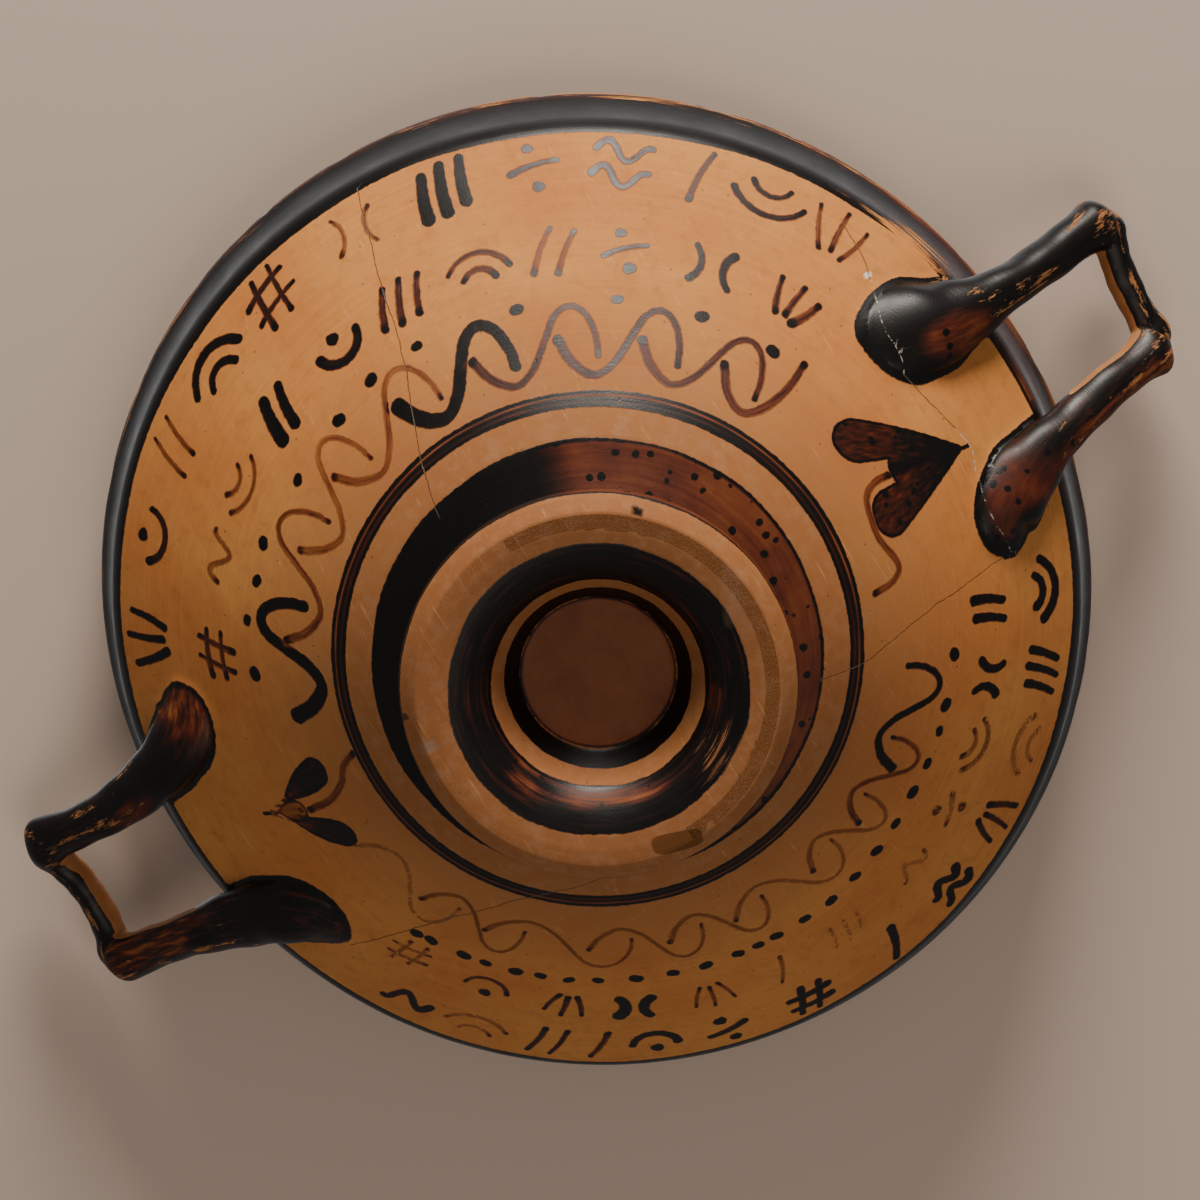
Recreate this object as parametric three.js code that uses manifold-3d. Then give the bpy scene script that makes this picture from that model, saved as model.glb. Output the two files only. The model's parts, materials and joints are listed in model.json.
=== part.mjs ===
// Kylix: a wheel-thrown drinking cup of painted clay, a shallow bowl with an upright lip on a low
// hollow foot, and two squared loop handles. It is fired in one piece, so it is one closed solid.
// Millimetres, +Z up, the origin at the middle of the resting ring, the handles along X.
import * as THREE from "three";
import { mergeVertices } from "three/addons/utils/BufferGeometryUtils.js";
import Module from "manifold-3d";

const wasm = await Module();
wasm.setup();

// Driving sizes of the turned body, as radius and height
const HEIGHT = 86;
const LIP_RADIUS = 108;
const LIP_THICKNESS = 3.6;
const SHOULDER = { radius: 102, height: 69.5 }; // where the wall turns up into the lip
const LIP_NECK = { radius: 104.4, height: 73.8 }; // where the lip starts its hollow outward sweep
const WALL_THICKNESS = 4.2;
const WALL_BULGE = 1.2; // how far the wall swells past the straight line, at mid-height
const BOWL_START = { radius: 46.5, height: 25.5 }; // where the stem's flare becomes the wall
const BOWL_FLOOR = 21; // height of the inside at the centre
const OVALITY = 1.1; // the lip is pinched in by this much at the handles, and spread across them

// The foot and the stem
const FOOT_RADIUS = 40;
const FOOT_EDGE = { low: 3, high: 7.5 }; // the height of the foot's upright edge
const RESTING = { inner: 33.5, outer: 36.8 }; // the flat ring that the cup stands on
const STEM = { radius: 26, height: 14.5 }; // the stem at its narrowest

// The hollow under the foot, from the resting ring up to the flat disc in its middle
const HOLLOW_RIM = { radius: 30.4, height: 0.8 };
const HOLLOW_SHELF = { radius: 21.6, height: 6 };
const HOLLOW_NECK = { radius: 19.05, height: 10.2 };
const HOLLOW_DISC = { radius: 16.3, height: 15 };

// The handles: each arm grows from a flared root on the wall to a corner, and a bar joins the corners
const BAR_HEIGHT = 87;
const BAR_HALF_WIDTH = 3.6;
const ARM_HALF_WIDTH = 4.8;
const ARM_HALF_THICKNESS = 4.3;
const FLARE = { centre: 0.15, spread: 0.23, thickening: 1 }; // a root's swelling, as a share of the arm
const ARM_SAG = 1.2; // how far the middle of an arm hangs below the straight line
const ROOT_DEPTH = 1; // how far a root's middle line lies under the wall's surface
const CORNER_SWELL = 1; // the corners are this much wider than the arms, on each side
const HANDLES = [
  {
    turn: 0,
    pinch: 2.2, // how far the middle of the bar is pressed in towards the bowl
    arms: [
      { side: -1, corner: [135.8, 12.8], root: [86, 19.5], tip: [81, 23.5], rootHalfWidth: 10.4 },
      { side: 1, corner: [132.2, 17.8], root: [85.5, 26.5], tip: [82, 33.5], rootHalfWidth: 8.6 },
    ],
  },
  {
    turn: Math.PI,
    pinch: 4.2,
    arms: [
      { side: 1, corner: [136.3, 15.4], root: [86, 26.5], tip: [82.5, 34], rootHalfWidth: 7.4 },
      { side: -1, corner: [135.8, 16.6], root: [86.5, 23], tip: [81.5, 31], rootHalfWidth: 8.8 },
    ],
  },
];

// Fineness of the faces
const TURNED_SIDES = 72;
const CURVE_STEPS = 3;
const LIMB_SIDES = 10;
const ARM_STEPS = 18;
const BAR_STEPS = 12;

// The painted clay as one plain colour
const CLAY = new THREE.MeshStandardMaterial({ color: 0xb87a45, roughness: 0.5, metalness: 0 });

// A manifold solid from a geometry: shared corners merged, empty triangles dropped.
function solid(geometry) {
  geometry.deleteAttribute("uv");
  geometry.deleteAttribute("normal");
  const merged = mergeVertices(geometry, 1e-4);
  const index = merged.index.array;
  const kept = [];
  for (let i = 0; i < index.length; i += 3) {
    const [a, b, c] = index.slice(i, i + 3);
    if (a !== b && b !== c && c !== a) kept.push(a, b, c);
  }
  const triVerts = new Uint32Array(kept);
  const vertProperties = merged.attributes.position.array;
  return new wasm.Manifold(new wasm.Mesh({ numProp: 3, vertProperties, triVerts }));
}

// The geometry of a manifold solid.
function geometryOf(made) {
  const mesh = made.getMesh();
  const geometry = new THREE.BufferGeometry();
  geometry.setAttribute("position", new THREE.BufferAttribute(mesh.vertProperties, 3));
  geometry.setIndex(new THREE.BufferAttribute(mesh.triVerts, 1));
  geometry.computeVertexNormals();
  return geometry;
}

// The height of the wall's outer surface at a radius: a straight slope with a slight swelling.
function wallHeight(radius) {
  const across = (radius - BOWL_START.radius) / (SHOULDER.radius - BOWL_START.radius);
  const straight = THREE.MathUtils.lerp(BOWL_START.height, SHOULDER.height, across);
  return straight - 4 * WALL_BULGE * across * (1 - across);
}

// The outside of the cup, from the disc under the foot out to the lip.
function outsideProfile(path) {
  path.moveTo(0, HOLLOW_DISC.height);
  path.lineTo(HOLLOW_DISC.radius - 1, HOLLOW_DISC.height);
  path.lineTo(HOLLOW_DISC.radius, HOLLOW_DISC.height - 0.6);
  path.lineTo(HOLLOW_NECK.radius, HOLLOW_NECK.height);
  path.lineTo(HOLLOW_SHELF.radius, HOLLOW_SHELF.height);
  path.quadraticCurveTo(HOLLOW_SHELF.radius + 3, 2.2, HOLLOW_RIM.radius, HOLLOW_RIM.height);
  path.lineTo(RESTING.inner, 0);
  path.lineTo(RESTING.outer, 0);
  path.lineTo(FOOT_RADIUS, FOOT_EDGE.low);
  path.quadraticCurveTo(FOOT_RADIUS + 0.8, 5.4, FOOT_RADIUS - 0.4, FOOT_EDGE.high);
  path.quadraticCurveTo(FOOT_RADIUS - 1.2, 9.2, FOOT_RADIUS - 4, 9.8);
  path.quadraticCurveTo(STEM.radius + 2, STEM.height - 2.4, STEM.radius, STEM.height);
  path.quadraticCurveTo(STEM.radius + 0.6, 18, BOWL_START.radius, BOWL_START.height);
}

// The wall from the stem's flare to the shoulder, then the lip, over its rounded top.
function wallProfile(path) {
  const steps = 7;
  for (let i = 1; i <= steps; i++) {
    const radius = THREE.MathUtils.lerp(BOWL_START.radius, SHOULDER.radius, i / steps);
    path.lineTo(radius, wallHeight(radius));
  }
  path.quadraticCurveTo(LIP_NECK.radius - 0.9, SHOULDER.height + 1.3, LIP_NECK.radius, LIP_NECK.height);
  path.quadraticCurveTo(LIP_NECK.radius + 0.9, HEIGHT - 6.4, LIP_RADIUS - 0.4, HEIGHT - 2);
  path.quadraticCurveTo(LIP_RADIUS + 0.4, HEIGHT, LIP_RADIUS - LIP_THICKNESS / 2, HEIGHT);
}

// The inside of the bowl, down to the middle of its floor; pushed is how far it lies in the wall.
function insideProfile(path, pushed = 0) {
  const wall = WALL_THICKNESS - pushed;
  path.lineTo(LIP_RADIUS - LIP_THICKNESS + pushed, HEIGHT - 1.6);
  path.lineTo(LIP_NECK.radius - LIP_THICKNESS + pushed + 1, HEIGHT - 7);
  path.lineTo(LIP_NECK.radius - LIP_THICKNESS + pushed, LIP_NECK.height + 1);
  path.lineTo(SHOULDER.radius - wall, SHOULDER.height + wall * 0.6);
  path.lineTo(78 - wall * 0.5, wallHeight(78) + wall * 0.9);
  path.lineTo(56 - wall * 0.5, wallHeight(56) + wall * 0.9);
  path.quadraticCurveTo(34, BOWL_FLOOR + 1.2 - pushed, 0, BOWL_FLOOR - pushed);
}

// A closed profile turned about the upright axis, then pinched into its slight oval.
function turned(draw) {
  const path = new THREE.Path();
  draw(path);
  const points = path.getPoints(CURVE_STEPS);
  if (THREE.ShapeUtils.isClockWise(points)) points.reverse();
  const geometry = new THREE.LatheGeometry(points, TURNED_SIDES);
  geometry.rotateX(Math.PI / 2);
  const position = geometry.attributes.position;
  for (let i = 0; i < position.count; i++) {
    const rise = Math.max(0, position.getZ(i) - BOWL_START.height) / (HEIGHT - BOWL_START.height);
    const pinch = (OVALITY * rise) / LIP_RADIUS;
    position.setXY(i, position.getX(i) * (1 - pinch), position.getY(i) * (1 + pinch));
  }
  return solid(geometry);
}

function cupBody() {
  return turned((path) => {
    outsideProfile(path);
    wallProfile(path);
    insideProfile(path);
  });
}

// The room inside the bowl, a little way into the wall, that no handle root may reach.
function bowlRoom() {
  return turned((path) => {
    path.moveTo(0, HEIGHT);
    path.lineTo(LIP_RADIUS - LIP_THICKNESS, HEIGHT);
    insideProfile(path, 1.5);
  });
}

// A rounded limb along a curve, flattened along the wall's slope, with its ends closed.
function limb(curve, halfSizes, steps) {
  const under = new THREE.Vector3();
  const positions = [];
  const rings = [];
  for (let i = 0; i <= steps; i++) {
    const along = i / steps;
    const point = curve.getPointAt(along);
    const tangent = curve.getTangentAt(along);
    under.set(point.x, point.y, 0).normalize().multiplyScalar(0.61).setZ(-0.79);
    under.addScaledVector(tangent, -under.dot(tangent)).normalize();
    const across = new THREE.Vector3().crossVectors(tangent, under);
    const [halfWidth, halfThickness] = halfSizes(along);
    rings.push(positions.length / 3);
    for (let k = 0; k < LIMB_SIDES; k++) {
      const angle = (k / LIMB_SIDES) * 2 * Math.PI;
      const place = point.clone();
      place.addScaledVector(across, halfWidth * Math.cos(angle));
      place.addScaledVector(under, halfThickness * Math.sin(angle));
      positions.push(place.x, place.y, place.z);
    }
  }
  const first = positions.length / 3;
  positions.push(...curve.getPointAt(0).toArray(), ...curve.getPointAt(1).toArray());
  const index = [];
  for (let k = 0; k < LIMB_SIDES; k++) {
    const next = (k + 1) % LIMB_SIDES;
    for (let i = 0; i < steps; i++) {
      const [low, high] = [rings[i], rings[i + 1]];
      index.push(low + k, high + next, low + next, low + k, high + k, high + next);
    }
    index.push(first, rings[0] + k, rings[0] + next);
    index.push(first + 1, rings[steps] + next, rings[steps] + k);
  }
  const geometry = new THREE.BufferGeometry();
  geometry.setAttribute("position", new THREE.BufferAttribute(new Float32Array(positions), 3));
  geometry.setIndex(index);
  return solid(geometry);
}

// How much of a limb's full size is left near an end, so that the end is round; length is its curve's.
function roundEnd(fromEnd, radius, length) {
  const inside = THREE.MathUtils.clamp((fromEnd * length) / radius, 0.08, 1);
  return Math.sqrt(inside * (2 - inside));
}

// A handle's corner, at the height of the bar.
function cornerOf(arm) {
  const [reach, spread] = arm.corner;
  return new THREE.Vector3(reach, arm.side * spread, BAR_HEIGHT);
}

// One arm: from the tip of its root, flat on the wall, round into the open and up to the corner.
function armSolid(arm) {
  const onWall = ([x, y]) => {
    return new THREE.Vector3(x, arm.side * y, wallHeight(Math.hypot(x, y)) + ROOT_DEPTH);
  };
  const tip = onWall(arm.tip);
  const root = onWall(arm.root);
  const corner = cornerOf(arm);
  const middle = corner.clone().lerp(root, 0.42);
  middle.y = arm.side * (arm.corner[1] + 0.4);
  middle.z -= ARM_SAG;
  const leaving = corner.clone().lerp(root, 0.74);
  leaving.y = arm.side * (arm.corner[1] * 0.66 + arm.root[1] * 0.34);
  leaving.z -= ARM_SAG;
  const curve = new THREE.CatmullRomCurve3([tip, root, leaving, middle, corner], false, "centripetal");
  const length = curve.getLength();
  return limb(curve, (along) => {
    const flare = Math.exp(-(((along - FLARE.centre) / FLARE.spread) ** 2));
    const swell = CORNER_SWELL * Math.exp(-(((along - 0.96) / 0.08) ** 2));
    const halfWidth = THREE.MathUtils.lerp(ARM_HALF_WIDTH, arm.rootHalfWidth, flare) + swell;
    const halfThickness = ARM_HALF_THICKNESS + FLARE.thickening * flare + swell / 2;
    const end = roundEnd(1 - along, ARM_HALF_WIDTH, length) * roundEnd(along, arm.rootHalfWidth, length);
    return [halfWidth * end, halfThickness * end];
  }, ARM_STEPS);
}

// The bar between a handle's two corners, pressed in at its middle.
function barSolid({ pinch, arms }) {
  const [start, end] = arms.map(cornerOf);
  const middle = start.clone().lerp(end, 0.5);
  middle.x -= pinch;
  const quarters = [start.clone().lerp(middle, 0.5), end.clone().lerp(middle, 0.5)];
  for (const quarter of quarters) quarter.x -= pinch * 0.3;
  const route = [start, quarters[0], middle, quarters[1], end];
  const curve = new THREE.CatmullRomCurve3(route, false, "centripetal");
  const length = curve.getLength();
  return limb(curve, (along) => {
    const end = roundEnd(along, BAR_HALF_WIDTH, length) * roundEnd(1 - along, BAR_HALF_WIDTH, length);
    return [BAR_HALF_WIDTH * end, BAR_HALF_WIDTH * end];
  }, BAR_STEPS);
}

// Both arms and the bar of one handle, turned to its side of the cup.
function handleSolid(handle) {
  const [first, second] = handle.arms.map(armSolid);
  const made = barSolid(handle).add(first).add(second);
  return made.rotate([0, 0, THREE.MathUtils.radToDeg(handle.turn)]);
}

function kylix() {
  const [right, left] = HANDLES.map(handleSolid);
  const handles = right.add(left).subtract(bowlRoom());
  const mesh = new THREE.Mesh(geometryOf(cupBody().add(handles)), CLAY);
  mesh.name = "kylix";
  return mesh;
}

const cup = new THREE.Group();
cup.add(kylix());
export default cup;
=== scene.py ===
# Kylix: the finished looks of a painted clay drinking cup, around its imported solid.
# The body is turned from one profile by a Geometry Nodes tree, the handles are lofted, and the two
# are joined into one closed piece. The paint is measured on the surface in millimetres and stored
# as attributes, which one painted-clay material reads.
import json
import math

import bpy
import numpy as np
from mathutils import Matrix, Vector
from mathutils.bvhtree import BVHTree

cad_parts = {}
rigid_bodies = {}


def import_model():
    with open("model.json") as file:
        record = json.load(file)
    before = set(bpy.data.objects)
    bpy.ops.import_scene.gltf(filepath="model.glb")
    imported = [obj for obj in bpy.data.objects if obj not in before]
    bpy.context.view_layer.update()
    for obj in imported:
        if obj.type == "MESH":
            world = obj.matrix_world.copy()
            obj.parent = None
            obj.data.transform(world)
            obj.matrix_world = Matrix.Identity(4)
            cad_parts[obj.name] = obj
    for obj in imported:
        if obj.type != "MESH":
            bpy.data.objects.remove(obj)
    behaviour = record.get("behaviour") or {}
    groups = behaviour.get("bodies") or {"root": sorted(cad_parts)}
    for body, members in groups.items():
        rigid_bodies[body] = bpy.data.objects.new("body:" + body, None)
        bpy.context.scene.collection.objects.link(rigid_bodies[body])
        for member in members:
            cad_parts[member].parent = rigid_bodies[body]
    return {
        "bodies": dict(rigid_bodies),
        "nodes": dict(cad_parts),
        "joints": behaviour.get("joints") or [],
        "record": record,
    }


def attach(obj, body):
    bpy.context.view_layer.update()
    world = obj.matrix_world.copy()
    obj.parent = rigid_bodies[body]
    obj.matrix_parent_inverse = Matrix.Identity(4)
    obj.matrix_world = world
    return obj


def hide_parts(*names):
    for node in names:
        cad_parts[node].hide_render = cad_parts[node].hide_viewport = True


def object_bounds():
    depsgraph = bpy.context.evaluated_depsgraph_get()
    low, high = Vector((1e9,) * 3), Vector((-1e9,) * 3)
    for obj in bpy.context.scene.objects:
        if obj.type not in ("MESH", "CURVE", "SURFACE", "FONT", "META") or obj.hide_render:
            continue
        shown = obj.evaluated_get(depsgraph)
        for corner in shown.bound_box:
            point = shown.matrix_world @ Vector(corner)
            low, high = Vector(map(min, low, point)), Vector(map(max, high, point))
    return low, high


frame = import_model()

CAD_LOW, CAD_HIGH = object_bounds()
CAD_MIDDLE = (CAD_LOW + CAD_HIGH) / 2
MM = 0.001

bl_info = {
    "name": "Painted kylix",
    "version": (1, 0, 0),
    "blender": (4, 5, 0),
    "location": "3D View > Sidebar > Kylix",
    "description": "Builds a painted clay drinking cup around its packed solid",
    "category": "Add Mesh",
}

# Driving sizes in millimetres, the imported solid's own, but for a flatter rim round the hollow
HEIGHT = 86.0
LIP_RADIUS = 108.0
LIP_THICKNESS = 3.6
SHOULDER = (102.0, 69.5)
LIP_NECK = (104.4, 73.8)
WALL_THICKNESS = 4.2
WALL_BULGE = 1.2
BOWL_START = (46.5, 25.5)
BOWL_FLOOR = 21.0
FOOT_RADIUS = 40.0
FOOT_EDGE = (3.0, 7.5)
RESTING = (33.5, 36.8)
STEM = (26.0, 14.5)
HOLLOW_RIM = (30.4, 0.35)
HOLLOW_SHELF = (21.6, 6.0)
HOLLOW_NECK = (19.05, 10.2)
HOLLOW_DISC = (16.3, 15.0)
CORNER_SOFTENING = 0.4  # how far a turned corner is rounded off to each side
STILL_FOOT = 3.0  # the turning lines and the unevenness grow from nothing over this height
LINE_DRIFT = 9.0  # how fast a turning line changes round the cup
UNEVEN_SCALE = 28.0  # how closely the wall's slow bumps follow each other

# The handles: each arm grows from a flared root on the wall to a corner, and a bar joins the corners
BAR_HEIGHT = CAD_HIGH.z / MM - 3.9  # the bar's middle line, under the handles' highest points
BAR_HALF_WIDTH = 3.5
ARM_HALF_WIDTH = 4.7
ARM_HALF_THICKNESS = 4.2
ARM_SAG = 1.2
ROOT_DEPTH = 1.0
TIP_DEPTH = 2.0
CORNER_SWELL = 1.0
FLARE_CENTRE = 0.16
WALL_FACING = (0.61, 0.79)  # square to the wall's slope: outwards and down
THUMBED_RIDGES = 0.035  # three soft ridges along a limb, as a share of its size
# Slow swellings along a limb: their size, how often they come, and how they turn round it
SWELLINGS = ((0.03, 17, 2, 1), (0.022, 41, 1, 2.3))
CROWDING = 0.94  # how closely a limb's steps crowd towards its rounded ends, up to 1
REACH_START = 118.0  # the handles are drawn in beyond this
SPARE_REACH = 0.15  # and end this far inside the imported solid's box
FILLET = 3.4  # how far from the joint the wet clay was smoothed over
LIMBS_EACH = 3  # two arms and a bar
DEEPEST_ROOT = 2.4  # no root reaches further than this into the wall
HANDLES = (
    {"turn": 1, "pinch": 2.6, "flare": 0.24, "arms": (
        {"name": "right_upper", "side": -1, "corner": (135.8, 12.8), "root": (86, 19.5),
         "tip": (78.9, 24.4), "root_half_width": 10.1},
        {"name": "right_lower", "side": 1, "corner": (132.2, 17.8), "root": (84.6, 26),
         "tip": (81.0, 32.4), "root_half_width": 8.3},
    )},
    {"turn": -1, "pinch": 4.4, "flare": 0.33, "arms": (
        {"name": "left_upper", "side": 1, "corner": (136.3, 15.4), "root": (86, 26.5),
         "tip": (82.7, 33.6), "root_half_width": 7.0},
        {"name": "left_lower", "side": -1, "corner": (135.8, 16.6), "root": (86.5, 23),
         "tip": (81.7, 30.6), "root_half_width": 8.4},
    )},
)

# Small chips knocked out of the lip's edge: how many, their widths and depths, and how far they reach
CHIPS = 34
CHIP_WIDTHS = (0.9, 3.2)
CHIP_DEPTHS = (0.3, 1.1)
CHIP_REACH = 2.2

# Fineness of the mesh: sides round the cup and spacing of its rows, doubled or halved in turn
LOW_SIDES = 160
FOOT_ROWS = 1.0
RING_ROWS = 0.3
WALL_ROWS = 0.9
LIP_ROWS = 0.9
INSIDE_ROWS = 3.0
CORNER_ROOM = 0.3  # no other row lies this close to a corner's own
LIMB_SIDES = 28
ARM_STEPS = 72
BAR_STEPS = 36

# Where the painted rings lie, as radii on the outside
STEM_BAND_END = 46.5
RING_BAND = (52.0, 55.1)
RING_STREAKS = ((53.0, 0.4, 0.3), (54.15, 0.3, 0.62))  # radius, breadth and how much thinner
LIP_BAND_START = 102.1
WALL_SLOPE = 0.78  # a step along the wall spans this much radius

SIGNS = {
    # Signs of a few brush strokes: bars as start, end and bow; arcs as centre, radius and angles
    "slash": [("bar", -2.2, -5, 2.4, 5, 0.5)],
    "pair": [("bar", -4, -4.8, -1, 5, 0.4), ("bar", 0.8, -5, 4, 4.6, 0.4)],
    "tally": [("bar", -5, -4.4, -3, 4, 0.3), ("bar", -1.2, -4.8, 0.8, 4.6, 0.3),
              ("bar", 2.8, -4.2, 4.8, 4.4, 0.3)],
    "nested": [("arc", 0, -4.5, 4, 25, 155), ("arc", 0, -4.5, 8, 30, 150)],
    "cradle": [("arc", 0, 4.5, 4, 205, 335), ("arc", 0, 4.5, 8, 212, 328)],
    "moon": [("arc", 0, 1.4, 5.4, 190, 350), ("dot", 0, 2.2, 1.0)],
    "dotted": [("bar", -4.4, -1.6, 4.4, 1.8, 0.4), ("dot", -1.2, 4, 1.0), ("dot", 1.4, -4.2, 1.0)],
    "lattice": [("bar", -3.4, -5, -1, 5, 0.2), ("bar", 1.2, -5, 3.4, 5, 0.2),
                ("bar", -5, -2.4, 5, -1.4, 0.3), ("bar", -5, 1.8, 5, 2.8, 0.3)],
    "fan": [("bar", -2, -4.4, -4.8, 3.6, 0.3), ("bar", 0.2, -3.6, 0.5, 4.8, 0.2),
            ("bar", 2.4, -4.4, 5, 3.4, -0.3)],
    "ripple": [("wave", -5.4, 0, 5.4, 0, 2.6)],
    "ripples": [("wave", -5, 2.6, 5, 2.6, 1.9), ("wave", -5, -2.6, 5, -2.6, 1.9)],
    "brackets": [("arc", -8, 0, 5.6, -46, 46), ("arc", 8, 0, 5.6, 134, 226)],
}
# Each row of signs: the middle angle in degrees, the sign, how dark it is and its half width
FRONT_OUTER = (
    (-152, "fan", 0.95, 1.0), (-138.5, "moon", 0.8, 0.85), (-126.5, "pair", 0.55, 0.7),
    (-115, "nested", 0.95, 1.05), (-103.5, "lattice", 0.75, 0.8), (-90, "brackets", 0.4, 0.65),
    (-77.5, "tally", 1.0, 1.5), (-66, "dotted", 0.72, 0.8), (-55, "ripples", 0.78, 0.95),
    (-45, "slash", 0.6, 0.75), (-36, "cradle", 0.8, 0.85), (-26.5, "fan", 0.5, 0.7),
)
FRONT_INNER = (
    (-152.5, "lattice", 0.62, 0.8), (-137.5, "ripple", 0.42, 0.7), (-126, "cradle", 0.45, 0.7),
    (-113.5, "pair", 1.0, 1.5), (-100, "moon", 0.9, 1.1), (-88.5, "tally", 0.7, 0.85),
    (-76, "nested", 0.66, 0.8), (-64.5, "pair", 0.5, 0.75), (-54, "dotted", 0.7, 0.8),
    (-41, "brackets", 0.82, 0.95), (-28, "fan", 0.6, 0.95),
)
BACK_OUTER = (
    (28, "nested", 1.0, 1.15), (39, "tally", 0.9, 1.0), (49, "cradle", 0.25, 0.7),
    (59.5, "fan", 0.75, 0.85), (70, "ripples", 0.95, 1.1), (80.5, "slash", 0.95, 1.2),
    (93.5, "lattice", 0.9, 1.0), (105, "dotted", 0.8, 0.9), (114.5, "moon", 0.9, 1.0),
    (121.7, "slash", 0.6, 0.75), (128.5, "pair", 0.7, 0.8), (138, "cradle", 0.3, 0.6),
    (147.5, "ripple", 0.85, 1.0),
)
BACK_INNER = (
    (29, "pair", 1.0, 1.2), (39.3, "brackets", 0.9, 1.0), (49.7, "nested", 0.35, 0.8),
    (60, "dotted", 0.28, 0.7), (70, "ripple", 0.22, 0.7), (83.5, "tally", 0.15, 0.5),
    (94.5, "slash", 0.35, 0.5), (105, "fan", 0.5, 0.6), (116.5, "brackets", 1.0, 1.5),
    (126.5, "fan", 0.66, 0.75), (138.5, "moon", 0.6, 0.65), (151, "lattice", 0.3, 0.6),
)
# Each row with its radius, how far it climbs half way, and how large its signs are
SIGN_ROWS = ((FRONT_OUTER, 96.2, 0, 1.13), (FRONT_INNER, 80.6, 0, 1.0),
             (BACK_OUTER, 95.4, 2.0, 0.95), (BACK_INNER, 82.5, 3.6, 0.85))
# Dots between the signs and the running wave, as angle and radius
FRONT_DOTS = ((-155, 72.3), (-146, 73.5), (-139, 72.2), (-132.5, 72.3), (-120, 70.5), (-107.5, 70.7),
              (-99, 71.6), (-89.5, 71.9), (-71.7, 71.2), (-55, 71.5), (-40.7, 71.2), (-27.5, 70.8))
BACK_DOTS = (35, 43.5, 48, 53.7, 59, 65, 70.4, 76, 81.5, 86.7, 92, 95.3, 98.8, 104.3, 109.7, 115.7,
             121.8, 126.4, 131, 135, 140, 143.7, 149.5, 152)
# The running wave: the angles of its crests, how dark each turn is, and its half width
FRONT_CRESTS = ((-145, 1.0, 1.6), (-128, 0.5, 0.85), (-112.5, 0.42, 0.8), (-95, 0.45, 0.85),
                (-79, 1.0, 1.6), (-63, 0.66, 0.95), (-47.5, 0.7, 1.0), (-31.5, 0.62, 0.95))
BACK_CRESTS = ((40, 1.0, 1.0), (53.5, 0.55, 0.75), (65.5, 0.4, 0.65), (77.5, 0.36, 0.6),
               (93.5, 0.4, 0.65), (106.5, 0.42, 0.6), (121, 0.42, 0.6), (139.5, 0.45, 0.6),
               (153, 0.25, 0.55))
FRONT_WAVE = (57.8, 70.5)  # the radius of the wave's troughs and of its crests
BACK_WAVE = (61.8, 72.6)
# One turn of the wave, as shares of its spacing and of its rise
WAVE_TURN = ((-1.17, 0.55), (-1.02, 0.2), (-0.75, 0.0), (-0.5, 0.17), (-0.32, 0.52), (-0.17, 0.87),
             (0.0, 1.0), (0.16, 0.88), (0.27, 0.58), (0.3, 0.28))
# The wave's last, unfinished turn on the front
WAVE_END = ((-34.5, 64.5), (-32, 60), (-28, 58), (-24.5, 60.5), (-22.3, 66), (-21.8, 72))
# Ivy leaves: the tip, the middles of both lobes, the part between them, the radius of each, where and
# how roundly the lobes end, how dark the lobes and the tip are, and the stem's route, all places as
# angle and radius
LEAVES = (
    {"tip": (5.3, 86.2), "lobes": ((-6.9, 68.2), (7.3, 66.9)), "notch": (2.2, 74.0), "size": 5.3,
     "join": 5.0, "waist": 1.0, "roundness": 1.1, "tones": (0.72, 0.98),
     "stem": ((1.6, 69.7), (1.1, 67.3), (1.6, 64.6), (4, 63), (10, 62.4), (16.6, 64.6), (19.2, 62.4),
              (20, 58.5))},
    {"tip": (-178.6, 81.3), "lobes": ((-173.8, 65.8), (173.6, 68.6)), "notch": (-179.6, 74.4),
     "size": 3.6, "join": 2.8, "waist": 0.66, "roundness": 2.2, "tones": (0.86, 0.3),
     "stem": ((179.8, 71.6), (-179.7, 65.9), (-177.2, 61.2), (-173.9, 58.8), (-171.6, 55.4))},
)
# Cracks through the wall: their route and whether they were filled with plaster
CRACKS = (
    (((-87.5, 102.5), (-89.6, 88), (-92, 73), (-96, 62), (-100, 54.5), (-105, 45)), 0.0),
    (((21.7, 88.8), (24, 79), (26.1, 70.7), (30, 62), (34.1, 55.2), (37, 47)), 0.0),
    (((158, 90), (152, 74), (145, 63), (137, 55), (122, 47.7)), 0.0),
    (((-26.7, 98.7), (-22.5, 95.5), (-19.6, 92.3)), 0.0),
    (((-19.6, 92.3), (-15.7, 88.1), (-10.6, 85.8), (-8.3, 83.9)), 0.45),
    (((-8.3, 83.9), (-4.9, 84.2), (-1.2, 84.9), (3.3, 86.5)), 0.0),
    (((3.3, 86.5), (6.1, 87.3), (9.4, 86.2)), 0.3),
    (((9.4, 86.2), (12.9, 85.9), (15.6, 86.5), (21.7, 88.8)), 0.5),
)
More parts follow.
